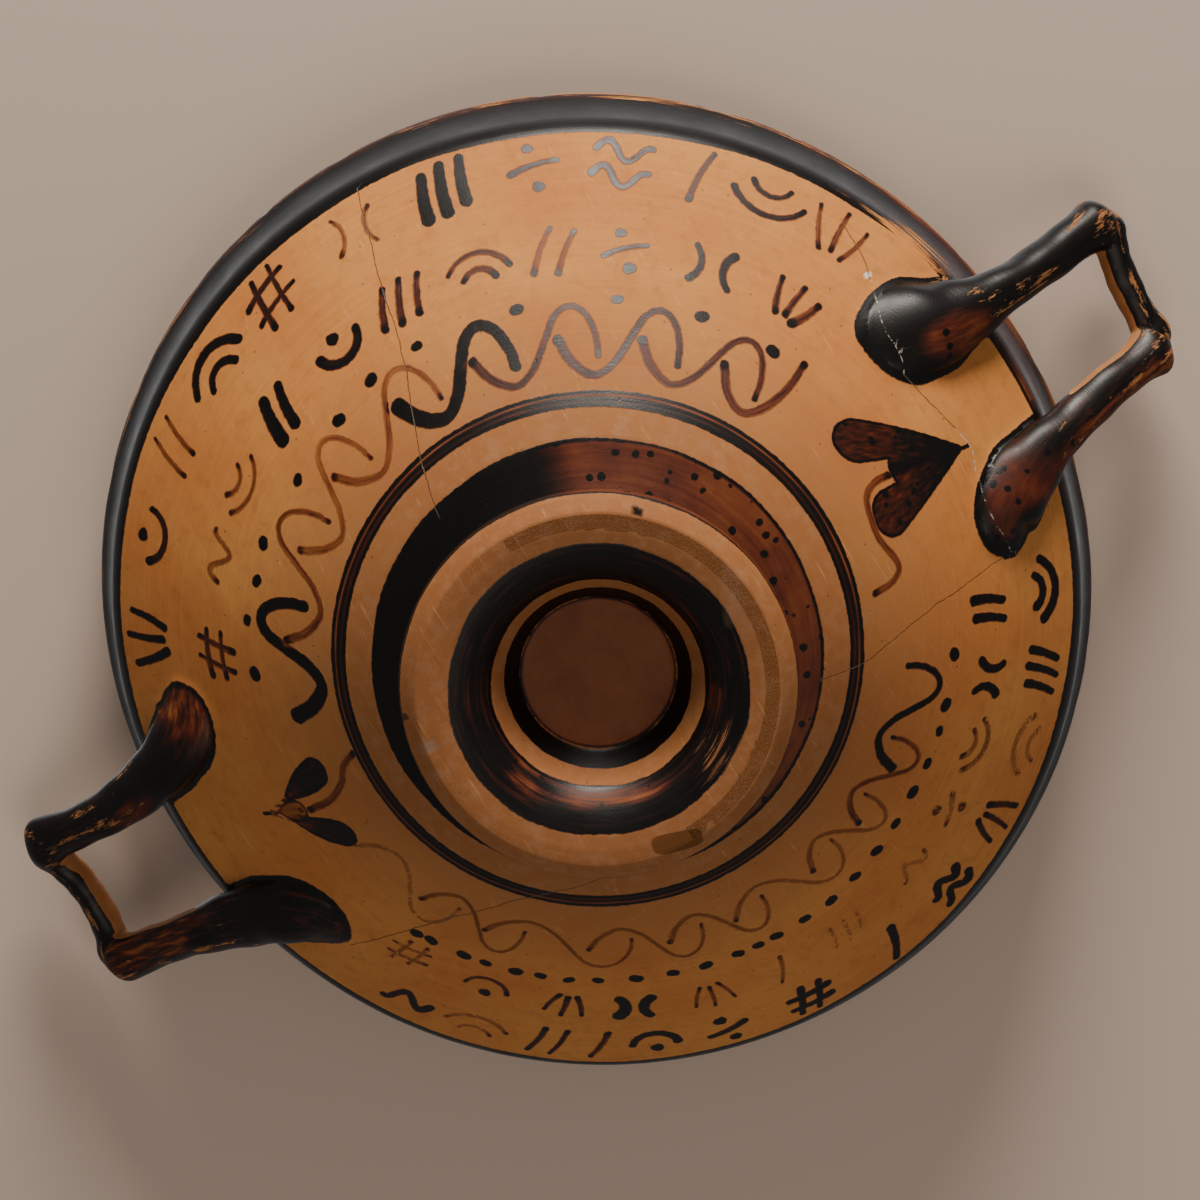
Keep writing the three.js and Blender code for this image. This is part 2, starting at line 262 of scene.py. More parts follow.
# Each limb's darkness and streakiness from its root to the handle's corner, its darkness down the
# outer side, the dark outline round its root, a patch as place, half sizes and darkness, how densely
# it is spotted, how far it is rubbed, and where across it the rubbed line runs
ARM_STATIONS = (0.0, 0.1, 0.25, 0.4, 0.65, 1.0)
LIMB_TONES = {
    "right_upper": {"along": (1.0, 1.0, 0.96, 0.93, 0.94, 0.96), "outer": 0.95, "outline": 0.1,
                    "streaks": (0.04, 0.04, 0.08, 0.12, 0.16, 0.2), "patch": (4, 0.3, 4.6, 0.13, 0.58),
                    "spots": 0.9, "wear": 0.3, "ridge": 2.4},
    "right_lower": {"along": (0.58, 0.56, 0.56, 0.84, 0.92, 0.95), "outer": 0.55, "outline": 0.5,
                    "streaks": (0.03, 0.03, 0.04, 0.12, 0.26, 0.3), "patch": (5.5, 0.1, 4, 0.12, 1.0),
                    "spots": 1.0, "wear": 0.32, "ridge": 1.6},
    "left_upper": {"along": (0.56, 0.6, 0.96, 0.98, 0.9, 0.85), "outer": 0.92, "outline": 0.1,
                   "streaks": (0.2, 0.2, 0.12, 0.08, 0.2, 0.24), "patch": (-3, 0.5, 2.4, 0.12, 0.68),
                   "spots": 0.0, "wear": 0.28, "ridge": -1.6},
    "left_lower": {"along": (0.68, 0.86, 0.98, 0.92, 0.64, 0.66), "outer": 0.86, "outline": 0.1,
                   "streaks": (0.34, 0.3, 0.1, 0.2, 0.36, 0.36), "patch": (1, 0.5, 2.4, 0.1, 0.96),
                   "spots": 0.0, "wear": 0.28, "ridge": -2.4},
    "bar": {"along": (0.96, 0.96, 0.96, 0.96, 0.96, 0.96), "outer": 0.94, "outline": 0.0,
            "streaks": (0.2, 0.2, 0.2, 0.2, 0.2, 0.2), "patch": (0, 0.5, 1, 0.1, 0.9),
            "spots": 0.0, "wear": 0.36, "ridge": 0.0},
}
# Stains, as place, turn, half sizes, how soft the edge is, colour and strength: painted shade in a pit
# in the bevel, a strip of old varnish, grey dirt in a scar, the scar's dark end, a little dust and a dab
# of plaster beside a crack
STAINS = (
    # The pit's dark colour is painted shade in its dent; the dent itself is only a shallow bump
    ((25.9, -27.3, 1), 0.9, (1.5, 0.9, 4), 1.1, "#150a04", 1.0),
    ((-3.0, 35.2, 1), 0.34, (5.4, 2.1, 5), 0.2, "#6b4019", 0.9),
    ((-35, -8.2, 1), 0.2, (2.2, 1.5, 5), 1.5, "#8a7d6d", 0.6),
    ((-36.6, -15.4, 2), 0.0, (1.2, 0.8, 4), 0.5, "#3a2414", 0.8),
    ((33, -2.4, 1), 0.5, (2.6, 6.5, 5), 1.4, "#b79a80", 0.2),
    ((86.6, -32.9, 61.4), 0.3, (1.0, 0.7, 3), 0.9, "#e6d9c2", 0.9),
)
# Colours of small marks and of the slip's film as it thins out
DUST = "#b98c68"
SCUFF = "#dba871"
GRIT = "#4d2c17"
SHEER_FILM = "#a0602a"
BROWN_FILM = "#341307"
DARK_FILM = "#120907"
CRACK_IN_CLAY = "#4a2812"
CRACK_IN_SLIP = "#6b5a48"
# Where the clay is mixed towards a darker colour, as it sets in: heights on the foot, where it grows
# darker downwards, and radii near the stem and out on the handles, where the darkening is painted shade
DARKER_FOOT = (3.6, 2.2)
SHADED_WALL = (78.0, 50.0)
SHADED_HANDLES = (109.0, 113.0)
SLIP_ROUGHNESS = (0.33, 0.44)  # sintered slip has a soft gloss
CLAY_ROUGHNESS = (0.68, 0.86)  # low-fired clay stays matt
SLIP_THICKNESS = 0.04
CRACK_DEPTH = 0.12
# Where the slip misfired or wore, as angles: the stem's red side, red patches under the foot with
# their half widths and strengths, scratches there, and the thin part of the lip's band
RED_STEM = 12
RED_PATCHES = ((118, 26, 1.0), (160, 9, 0.8), (38, 8, 0.6))
FOOT_SCRATCHES = (62, 18)
THIN_LIP = (2, 24)
# The lip's band flaked beside the upper root of the right handle: the angle and its half width, the
# radius and its half width
FLAKED_BAND = (-18, 8, 102.5, 3.6)
CORNER_WEAR = 0.72
LIP_WEAR = 0.6
RUBBED_LIP = 4.6  # how far down from its edge the lip was rubbed
HANDLE_PAINT = 1.8  # how far the handles' paint runs onto the wall
FINGER_GAP = (115.0, 82.0)  # the middle of each finger gap, along X and in height
RING_DRAW = 0.06  # how much the wheel draws a streak out along the ring
LIMB_DRAW = 0.13  # and the brush along a limb
LEAF_DRAW = 0.3  # and along a leaf
STROKE_LAYERS = 6  # how many brush strokes may lie close together
# What the material reads of the paint, besides the strokes: single numbers, and routes of three
NUMBERS = ("slip", "slip_tone", "streaky", "spotted", "stroke_tone", "wear")
ROUTES = ("grain", "crack")
# The camera, in metres and degrees
CAMERA_PLACE = (0.13286, -0.22326, -0.9678)
CAMERA_TURN = (166.0216, 0.2541, 31.6432)
CAMERA_LENS = 150
CAMERA_SENSOR = 36
# Lights: their way from the cup, as shares towards the camera, up and to the right in its view, their
# distance, both sizes and colour. The key is low and flat enough to stay wholly under the floor
KEY_LIGHT = ((0.46, 0.88, 0.03), 1.15, (0.52, 0.36), "#fcf3e8")
FILL_LIGHT = ((0.85, -0.6, 0.22), 1.3, (0.9, 0.9), "#f6e6da")
UPPER_LIGHT = (0.42, 1.5, (2.6, 2.6))  # how far towards the view's upper side, how high, and its sizes
ROOM_LIGHT = ("#dcd9d5", 0.25)
FLOOR_HALF = 4.0
BACKDROP_HALF = 0.6
BACKDROP_GAP = 0.008


def linear(shade):
    """An sRGB hex value as linear red, green, blue and alpha."""
    parts = [int(shade[i:i + 2], 16) / 255 for i in (1, 3, 5)]
    return [c / 12.92 if c <= 0.04045 else ((c + 0.055) / 1.055) ** 2.4 for c in parts] + [1.0]


def colour(name, shade):
    """A colour that the panel offers."""
    return bpy.props.FloatVectorProperty(name=name, description=name, subtype="COLOR", size=4,
                                         min=0.0, max=1.0, default=linear(shade))


class KylixBody(bpy.types.PropertyGroup):
    ovality: bpy.props.FloatProperty(
        name="Ovality", description="How far the lip is pinched in at the handles",
        default=1.1 * MM, unit="LENGTH")
    wheel_mark_height: bpy.props.FloatProperty(
        name="Wheel mark height", description="Height of the fine turning lines",
        default=0.09 * MM, unit="LENGTH", precision=5)
    wheel_mark_spacing: bpy.props.FloatProperty(
        name="Wheel mark spacing", description="Distance between the turning lines",
        default=2.6 * MM, unit="LENGTH", precision=4)
    unevenness: bpy.props.FloatProperty(
        name="Unevenness", description="How far the hand-turned wall wanders",
        default=0.35 * MM, unit="LENGTH", precision=4)
    seed: bpy.props.IntProperty(name="Seed", description="Which unevenness is used", default=7)


class KylixPaint(bpy.types.PropertyGroup):
    clay: colour("Clay", "#c57a3b")
    clay_pale: colour("Pale clay", "#d08c46")
    clay_deep: colour("Deep clay", "#a5602b")
    # Darker clay for the foot's underside, and painted shade near the stem and on the handles' bare clay
    clay_darker_and_shaded: colour("Darker clay and painted shade", "#905a33")
    slip: colour("Fired slip", "#080504")
    slip_red: colour("Misfired slip", "#571c05")
    slip_thin: colour("Thin slip", "#7c3d0e")
    plaster: colour("Plaster fill", "#cbbfae")
    wander: bpy.props.FloatProperty(
        name="Wander", description="How far a painted edge strays from its line, in millimetres",
        default=0.28)


class KylixStage(bpy.types.PropertyGroup):
    floor: colour("Floor", "#cfc9c1")
    backdrop: colour("Backdrop", "#dac6b6")
    key_power: bpy.props.FloatProperty(
        name="Key light", description="Power of the light on the underside", default=20.0,
        unit="POWER")
    fill_power: bpy.props.FloatProperty(
        name="Fill light", description="Power of the soft light opposite the key", default=3.5,
        unit="POWER")
    upper_power: bpy.props.FloatProperty(
        name="Upper light", description="Power of the light over the cup", default=15.0,
        unit="POWER")


def add(tree, kind, *inputs, out=0, **settings):
    """Adds a node with its settings, gives its inputs, in order or by name, a value or a link, and
    returns an output."""
    node = tree.nodes.new(kind if "Node" in kind else "ShaderNode" + kind)
    for name, value in settings.items():
        setattr(node, name, value)
    by_name = inputs and isinstance(inputs[0], dict)
    for key, value in (inputs[0] if by_name else dict(enumerate(inputs))).items():
        if isinstance(value, bpy.types.NodeSocket):
            tree.links.new(value, node.inputs[key])
        else:
            node.inputs[key].default_value = value
    return node.outputs[out] if node.outputs else node


def vertex_values(mesh, field):
    """One three-part field of every vertex as an array."""
    values = np.empty(len(mesh.vertices) * 3, np.float32)
    mesh.vertices.foreach_get(field, values)
    return values.reshape(-1, 3)


def move_vertices(mesh, points):
    """Puts every vertex at its point, given in millimetres."""
    mesh.vertices.foreach_set("co", (points * MM).astype(np.float32).ravel())
    mesh.update()


def bell(gap, spread, power=2):
    """One at the middle of a place, falling to nothing past its spread."""
    return np.exp(-(gap / spread) ** power)


# ---------------------------------------------------------------- the turned body

def wall_height(radius):
    """Height of the wall's outer surface at a radius: a straight slope with a slight swelling."""
    across = (radius - BOWL_START[0]) / (SHOULDER[0] - BOWL_START[0])
    straight = BOWL_START[1] + (SHOULDER[1] - BOWL_START[1]) * across
    return straight - 4 * WALL_BULGE * across * (1 - across)


def bend(start, control, end, steps=12):
    """Points along a quadratic curve, without its start."""
    made = []
    for i in range(1, steps + 1):
        t = i / steps
        made.append(tuple((1 - t) ** 2 * a + 2 * t * (1 - t) * b + t * t * c
                          for a, b, c in zip(start, control, end)))
    return made


def softened(points, reach):
    """The same polyline with every sharp corner rounded off."""
    made = [points[0]]
    for before, here, after in zip(points, points[1:], points[2:]):
        back = np.subtract(before, here)
        on = np.subtract(after, here)
        lengths = np.linalg.norm(back), np.linalg.norm(on)
        turn = math.degrees(math.acos(np.clip(-back @ on / lengths[0] / lengths[1], -1, 1)))
        if turn < 14:
            made.append(here)
            continue
        start = here + back / lengths[0] * min(reach, 0.45 * lengths[0])
        end = here + on / lengths[1] * min(reach, 0.45 * lengths[1])
        made.extend([tuple(start)] + bend(start, here, end, 5))
    return made + [points[-1]]


def outline():
    """The profile as stretches of radius and height: foot and stem, wall, lip and inside."""
    disc = HOLLOW_DISC
    foot = [(0, disc[1]), (disc[0] - 1, disc[1]), (disc[0], disc[1] - 0.6), HOLLOW_NECK, HOLLOW_SHELF]
    foot += bend(HOLLOW_SHELF, (HOLLOW_SHELF[0] + 3, 2.2), HOLLOW_RIM)
    foot += [(RESTING[0], 0), (RESTING[1], 0), (FOOT_RADIUS, FOOT_EDGE[0])]
    foot += bend(foot[-1], (FOOT_RADIUS + 0.8, 5.4), (FOOT_RADIUS - 0.4, FOOT_EDGE[1]))
    foot += bend(foot[-1], (FOOT_RADIUS - 1.2, 9.2), (FOOT_RADIUS - 4, 9.8))
    foot += bend(foot[-1], (STEM[0] + 2, STEM[1] - 2.4), STEM)
    foot += bend(STEM, (STEM[0] + 0.6, 18), BOWL_START)
    wall = [(r, wall_height(r)) for r in np.linspace(BOWL_START[0], SHOULDER[0], 40)[1:]]
    neck = LIP_NECK
    lip = bend(SHOULDER, (neck[0] - 0.9, SHOULDER[1] + 1.3), neck)
    lip += bend(neck, (neck[0] + 0.9, HEIGHT - 6.4), (LIP_RADIUS - 0.4, HEIGHT - 2))
    lip += bend(lip[-1], (LIP_RADIUS + 0.4, HEIGHT), (LIP_RADIUS - LIP_THICKNESS / 2, HEIGHT))
    rim = LIP_RADIUS - LIP_THICKNESS
    inner_neck = neck[0] - LIP_THICKNESS
    thick = WALL_THICKNESS
    inside = [(rim, HEIGHT - 1.6), (inner_neck + 1, HEIGHT - 7), (inner_neck, neck[1] + 1),
              (SHOULDER[0] - thick, SHOULDER[1] + thick * 0.6),
              (78 - thick * 0.5, wall_height(78) + thick * 0.9),
              (56 - thick * 0.5, wall_height(56) + thick * 0.9)]
    inside += bend(inside[-1], (34, BOWL_FLOOR + 1.2), (0, BOWL_FLOOR), 24)
    return foot, wall, lip, inside


class Profile:
    """The rounded profile as one polyline, measured along its length."""

    BATCH = 4000  # places measured at once, which spares memory

    def __init__(self):
        stretches = outline()
        self.points = np.array(softened([p for stretch in stretches for p in stretch],
                                        CORNER_SOFTENING), float)
        steps = np.linalg.norm(np.diff(self.points, axis=0), axis=1)
        self.along = np.concatenate([[0], np.cumsum(steps)])
        self.ends = [self.station(stretch[-1]) for stretch in stretches]

    def station(self, point):
        """How far along the profile its nearest place to a point lies."""
        return float(self.nearest(np.array([point], float))[0][0])

    def nearest(self, places):
        """For each place, how far along the profile it lies, and its distance from the profile."""
        start = self.points[:-1]
        step = np.diff(self.points, axis=0)
        square = (step ** 2).sum(1)
        along = np.empty(len(places))
        away = np.empty(len(places))
        for first in range(0, len(places), self.BATCH):
            batch = slice(first, first + self.BATCH)
            some = places[batch]
            gap = some[:, None, :] - start[None]
            t = np.clip((gap * step).sum(2) / square, 0, 1)
            off = ((gap - t[..., None] * step) ** 2).sum(2)
            best = off.argmin(1)
            rows = np.arange(len(some))
            along[batch] = self.along[best] + t[rows, best] * np.sqrt(square[best])
            away[batch] = np.sqrt(off[rows, best])
        return along, away

    def outer_station(self, radius):
        """How far along the profile the outside of the cup reaches a radius beyond the stem."""
        first = np.searchsorted(self.along, self.station(STEM))
        last = np.searchsorted(self.along, self.ends[2])
        return float(np.interp(radius, self.points[first:last, 0], self.along[first:last]))


PROFILE = Profile()


def body_rows():
    """Every row's place along the profile and its number of sides."""
    foot_end, wall_end, lip_end, inside_end = PROFILE.ends
    ring_start = PROFILE.outer_station(RING_BAND[0] - 1)
    ring_end = PROFILE.outer_station(RING_BAND[1] + 1)
    rows = []
    for start, end, spacing, sides in (
            (0, foot_end, FOOT_ROWS, LOW_SIDES), (foot_end, ring_start, WALL_ROWS, 2 * LOW_SIDES),
            (ring_start, ring_end, RING_ROWS, 2 * LOW_SIDES),
            (ring_end, wall_end, WALL_ROWS, 4 * LOW_SIDES), (wall_end, lip_end, LIP_ROWS, 2 * LOW_SIDES),
            (lip_end, inside_end, INSIDE_ROWS, LOW_SIDES)):
        count = max(2, round((end - start) / spacing))
        rows += [(s, sides) for s in np.linspace(start, end, count, endpoint=False)]
    # Extra rows at the foot's turned corners keep them crisp
    corners = [PROFILE.station(p) for p in (
        HOLLOW_DISC, HOLLOW_NECK, HOLLOW_SHELF, HOLLOW_RIM, (RESTING[0], 0), (RESTING[1], 0),
        (FOOT_RADIUS, FOOT_EDGE[0]), (FOOT_RADIUS - 0.4, FOOT_EDGE[1]))]
    close = [s + d for s in corners for d in (-CORNER_SOFTENING, 0, CORNER_SOFTENING)]
    kept = [row for row in rows if min(abs(row[0] - s) for s in close) > CORNER_ROOM]
    return sorted(kept[1:] + [(s, LOW_SIDES) for s in close])


def strip(low, low_sides, high, high_sides):
    """The faces between two rows, where one may have twice the sides of the other."""
    faces = []
    for j in range(min(low_sides, high_sides)):
        k = (j + 1) % min(low_sides, high_sides)
        if low_sides == high_sides:
            faces.append((low + j, low + k, high + k, high + j))
        elif low_sides < high_sides:
            a, b, c = high + 2 * j, high + 2 * j + 1, high + (2 * j + 2) % high_sides
            faces += [(low + j, b, a), (low + j, low + k, b), (low + k, c, b)]
        else:
            a, b, c = low + 2 * j, low + 2 * j + 1, low + (2 * j + 2) % low_sides
            faces += [(a, b, high + j), (b, high + k, high + j), (b, c, high + k)]
    return faces


def flat_body():
    """The body unrolled: each point's place along the profile and its turn, before it is shaped."""
    rows = body_rows()
    points = [(0.0, 0.0, 0.0)]
    starts = []
    faces = []
    for along, sides in rows:
        starts.append(len(points))
        points += [(along * MM, 2 * math.pi * j / sides, 0.0) for j in range(sides)]
    last = len(points)
    points.append((PROFILE.along[-1] * MM, 0.0, 0.0))
    first_sides = rows[0][1]
    faces += [(0, starts[0] + (j + 1) % first_sides, starts[0] + j) for j in range(first_sides)]
    for i in range(len(rows) - 1):
        faces += strip(starts[i], rows[i][1], starts[i + 1], rows[i + 1][1])
    sides = rows[-1][1]
    faces += [(starts[-1] + j, starts[-1] + (j + 1) % sides, last) for j in range(sides)]
    return points, faces


def plain_object(name, points, faces):
    """A mesh object at the origin, in the scene."""
    mesh = bpy.data.meshes.new(name)
    mesh.from_pydata([tuple(p) for p in points], [], faces)
    mesh.update()
    made = bpy.data.objects.new(name, mesh)
    bpy.context.scene.collection.objects.link(made)
    return made


def remove(*objects):
    """Takes objects out of the scene."""
    for one in objects:
        bpy.data.objects.remove(one)


def turning_tree():
    """The tree that shapes the unrolled body on the profile, as a potter's wheel would."""
    tree = bpy.data.node_groups.new("Turning on the wheel", "GeometryNodeTree")
    face = tree.interface
    face.new_socket("Geometry", in_out="INPUT", socket_type="NodeSocketGeometry")
    for name, kind in (("Profile", "Object"), ("Ovality", "Float"), ("Lip radius", "Float"),
                       ("Wall start", "Float"), ("Height", "Float"), ("Wheel mark height", "Float"),
                       ("Wheel mark spacing", "Float"), ("Unevenness", "Float"), ("Seed", "Int"),
                       ("Finish", "Material")):
        face.new_socket(name, in_out="INPUT", socket_type="NodeSocket" + kind)
    face.new_socket("Geometry", in_out="OUTPUT", socket_type="NodeSocketGeometry")
    given = {socket.name: socket for socket in add(tree, "NodeGroupInput", out=slice(None))}
    along, turn = add(tree, "SeparateXYZ", add(tree, "GeometryNodeInputPosition"), out=slice(2))
    curve = add(tree, "GeometryNodeObjectInfo", {"Object": given["Profile"]}, out="Geometry")
    on_profile = add(tree, "GeometryNodeSampleCurve", {"Curves": curve, "Length": along},
                     out="Position", mode="LENGTH", use_all_curves=True)
    radius, _, height = add(tree, "SeparateXYZ", on_profile, out=slice(3))
    above = add(tree, "Math", height, given["Wall start"], operation="SUBTRACT")
    room = add(tree, "Math", given["Height"], given["Wall start"], operation="SUBTRACT")
    share = add(tree, "Math", above, room, operation="DIVIDE", use_clamp=True)
    reach = add(tree, "Math", given["Ovality"], given["Lip radius"], operation="DIVIDE")
    pinch = add(tree, "Math", share, reach, operation="MULTIPLY")
    sides = []
    for wave, change in (("COSINE", "SUBTRACT"), ("SINE", "ADD")):
        way = add(tree, "Math", turn, operation=wave)
        plain = add(tree, "Math", way, radius, operation="MULTIPLY")
        factor = add(tree, "Math", 1.0, pinch, operation=change)
        sides.append(add(tree, "Math", plain, factor, operation="MULTIPLY"))
    shaped = add(tree, "CombineXYZ", sides[0], sides[1], height)
    turned = add(tree, "GeometryNodeSetPosition", {"Geometry": given["Geometry"], "Position": shaped})
    # Turning lines run round the cup, so their noise changes fast along the profile, slowly round it
    close = add(tree, "Math", along, given["Wheel mark spacing"], operation="DIVIDE")
    soft = add(tree, "Math", sides[0], LINE_DRIFT, operation="MULTIPLY")
    line = add(tree, "CombineXYZ", close, soft, given["Seed"])
    marks = add(tree, "TexNoise", {"Vector": line, "Scale": 1.0, "Detail": 1.0})
    wide = add(tree, "TexNoise", {"Vector": shaped, "W": given["Seed"], "Scale": UNEVEN_SCALE,
                                  "Detail": 1.0}, noise_dimensions="4D")
    moves = []
    for noise, size in ((marks, "Wheel mark height"), (wide, "Unevenness")):
        about = add(tree, "Math", noise, 0.5, operation="SUBTRACT")
        moves.append(add(tree, "Math", about, given[size], operation="MULTIPLY"))
    out = add(tree, "Math", moves[0], moves[1], operation="ADD")
    # The resting ring stays flat, so nothing moves at the very bottom
    lifted = add(tree, "MapRange", height, 0.0, STILL_FOOT * MM)
    kept = add(tree, "Math", out, lifted, operation="MULTIPLY")
    offset = add(tree, "VectorMath", {0: add(tree, "GeometryNodeInputNormal"), "Scale": kept},
                 operation="SCALE")
    worked = add(tree, "GeometryNodeSetPosition", {"Geometry": turned, "Offset": offset})
    smooth = add(tree, "GeometryNodeSetShadeSmooth", {"Geometry": worked})
    real = add(tree, "GeometryNodeRealizeInstances", {"Geometry": smooth})
    coated = add(tree, "GeometryNodeSetMaterial", {"Geometry": real, "Material": given["Finish"]})
    add(tree, "NodeGroupOutput", coated)
    return tree


def profile_curve():
    """The profile as a curve object, radius along X and height along Z, for the turning tree."""
    data = bpy.data.curves.new("profile", "CURVE")
    data.dimensions = "3D"
    spline = data.splines.new("POLY")
    spline.points.add(len(PROFILE.points) - 1)
    for point, (radius, height) in zip(spline.points, PROFILE.points):
        point.co = (radius * MM, 0.0, height * MM, 1.0)
    made = bpy.data.objects.new("profile", data)
    bpy.context.scene.collection.objects.link(made)
    return made


def plain_copy(source, name):
    """The evaluated object as a new object with a plain mesh."""
    graph = bpy.context.evaluated_depsgraph_get()
    mesh = bpy.data.meshes.new_from_object(source.evaluated_get(graph))
    mesh.name = name
    made = bpy.data.objects.new(name, mesh)
    bpy.context.scene.collection.objects.link(made)
    return made


def turned_body(settings, finish):
    """The thrown body as a plain mesh."""
    flat = plain_object("unrolled_body", *flat_body())
    curve = profile_curve()
    tree = turning_tree()
    modifier = flat.modifiers.new("Turning", "NODES")
    values = {"Profile": curve, "Ovality": settings.ovality, "Lip radius": LIP_RADIUS * MM,
              "Wall start": BOWL_START[1] * MM, "Height": HEIGHT * MM,
              "Wheel mark height": settings.wheel_mark_height,
              "Wheel mark spacing": settings.wheel_mark_spacing,
              "Unevenness": settings.unevenness, "Seed": settings.seed, "Finish": finish}
    modifier.node_group = tree
    for item in tree.interface.items_tree:
        if item.in_out == "INPUT" and item.name in values:
            modifier[item.identifier] = values[item.name]
    made = plain_copy(flat, "turned_body")
    remove(flat, curve)
    bpy.data.node_groups.remove(tree)
    return made


# ---------------------------------------------------------------- the handles

def limb_curve(points, count):
    """Places at equal distances along a centripetal Catmull-Rom curve, their tangents and its length."""
    points = np.array(points, float)
    ends = [2 * points[0] - points[1], *points, 2 * points[-1] - points[-2]]
    dense = [points[0]]
    for p0, p1, p2, p3 in zip(ends, ends[1:], ends[2:], ends[3:]):
        d0, d1, d2 = (math.sqrt(np.linalg.norm(b - a)) for a, b in ((p0, p1), (p1, p2), (p2, p3)))
        leave = ((p1 - p0) / d0 - (p2 - p0) / (d0 + d1) + (p2 - p1) / d1) * d1
        arrive = ((p2 - p1) / d1 - (p3 - p1) / (d1 + d2) + (p3 - p2) / d2) * d1
        for t in np.linspace(0, 1, 41)[1:]:
            dense.append(p1 + leave * t + (3 * (p2 - p1) - 2 * leave - arrive) * t * t
                         + (2 * (p1 - p2) + leave + arrive) * t ** 3)
    dense = np.array(dense)
    steps = np.concatenate([[0], np.cumsum(np.linalg.norm(np.diff(dense, axis=0), axis=1))])
    wanted = np.linspace(0, steps[-1], count + 1)
    places = np.stack([np.interp(wanted, steps, dense[:, i]) for i in range(3)], 1)
    tangents = np.gradient(places, axis=0)
    return places, tangents / np.linalg.norm(tangents, axis=1)[:, None], steps[-1]


def round_end(from_end, radius, length):
    """How much of a limb's full size is left near an end, so that the end is round."""
    inside = np.clip(from_end * length / radius, 0.03, 1)
    return np.sqrt(inside * (2 - inside))


def limb_faces(steps):
    """The faces round a limb and a fan that closes each end."""
    faces = []
    top = steps * LIMB_SIDES
    first = top + LIMB_SIDES
    for low in range(0, top, LIMB_SIDES):
        high = low + LIMB_SIDES
        for k in range(LIMB_SIDES):
            n = (k + 1) % LIMB_SIDES
            faces.append((low + k, high + k, high + n, low + n))
    for k in range(LIMB_SIDES):
        n = (k + 1) % LIMB_SIDES
        faces += [(first, k, n), (first + 1, top + n, top + k)]
    return faces


def limb(name, points, sizes, steps, lumps):
    """A hand-rolled limb along a curve, flattened along the wall's slope: its mesh and its frame."""
    places, tangents, length = limb_curve(points, steps)
    share = np.linspace(0, 1, steps + 1)
    # Steps crowd towards both ends, where the limb is rounded off
    share = 0.5 - 0.5 * np.sin((0.5 - share) * math.pi * CROWDING) / math.sin(CROWDING * math.pi / 2)
    grid = np.linspace(0, 1, steps + 1)
    places = np.stack([np.interp(share, grid, places[:, i]) for i in range(3)], 1)
    tangents = np.stack([np.interp(share, grid, tangents[:, i]) for i in range(3)], 1)
    half_width, half_thickness = sizes(share, length)
    outward = places * (1, 1, 0)
    under = outward / np.linalg.norm(outward, axis=1)[:, None] * WALL_FACING[0]
    under -= np.array([0, 0, WALL_FACING[1]])
    under -= (under * tangents).sum(1)[:, None] * tangents / (tangents ** 2).sum(1)[:, None]
    under /= np.linalg.norm(under, axis=1)[:, None]
    across = np.cross(tangents, under)
    across /= np.linalg.norm(across, axis=1)[:, None]
    made = []
    for k in range(LIMB_SIDES):
        angle = 2 * math.pi * k / LIMB_SIDES
        grown = 1 + THUMBED_RIDGES * math.cos(3 * angle + lumps)
        for size, waves, turns, shift in SWELLINGS:
            grown = grown + size * np.sin(share * waves + turns * angle + shift * lumps)
        made.append(places + across * (half_width * grown * math.cos(angle))[:, None]
                    + under * (half_thickness * grown * math.sin(angle))[:, None])
    points = np.concatenate([np.stack(made, 1).reshape(-1, 3), places[:1], places[-1:]])
    return {"name": name, "faces": limb_faces(steps), "points": points, "places": places,
            "across": across, "under": under, "share": share, "length": length}


def on_wall(place, side, depth):
    """A point of a limb's middle line, just under the wall's surface."""
    x, y = place
    return (x, side * y, wall_height(math.hypot(x, y)) + depth)


def corner_of(arm):
    """Where an arm meets the bar, on the handle's own side of the cup."""
    reach, spread = arm["corner"]
    return np.array([reach, arm["side"] * spread, BAR_HEIGHT])


def arm_limb(arm, spread, lumps):
    """One arm, from the tip of its root, flat on the wall, up to the handle's corner."""
    side = arm["side"]
    corner = corner_of(arm)
    root = np.array(on_wall(arm["root"], side, ROOT_DEPTH))
    middle = corner + (root - corner) * 0.42
    middle[1] = side * (arm["corner"][1] + 0.4)
    middle[2] -= ARM_SAG
    leaving = corner + (root - corner) * 0.74
    leaving[1] = side * (arm["corner"][1] * 0.66 + arm["root"][1] * 0.34)
    leaving[2] -= ARM_SAG

    def sizes(share, length):
        flare = bell(share - FLARE_CENTRE, spread)
        swell = CORNER_SWELL * bell(share - 0.96, 0.08)
        half_width = ARM_HALF_WIDTH + (arm["root_half_width"] - ARM_HALF_WIDTH) * flare + swell
        thin_tip = 2.2 * bell(share, 0.13)
        half_thickness = ARM_HALF_THICKNESS + flare + swell / 2 - thin_tip
        end = round_end(1 - share, ARM_HALF_WIDTH, length)
        end = end * round_end(share, 1.35 * arm["root_half_width"], length)
        return half_width * end, half_thickness * end

    line = [on_wall(arm["tip"], side, TIP_DEPTH), root, leaving, middle, corner]
    return limb(arm["name"], line, sizes, ARM_STEPS, lumps)


def bar_limb(handle, lumps):
    """The bar between a handle's corners, pressed in at its middle."""
    start, end = (corner_of(arm) for arm in handle["arms"])
    middle = (start + end) / 2 - (handle["pinch"], 0, 0)
    first = (start + middle) / 2 - (0.3 * handle["pinch"], 0, 0)
    second = (end + middle) / 2 - (0.3 * handle["pinch"], 0, 0)

    def sizes(share, length):
        ends = round_end(share, BAR_HALF_WIDTH, length) * round_end(1 - share, BAR_HALF_WIDTH, length)
        return BAR_HALF_WIDTH * ends, BAR_HALF_WIDTH * ends

    return limb("bar", [start, first, middle, second, end], sizes, BAR_STEPS, lumps)


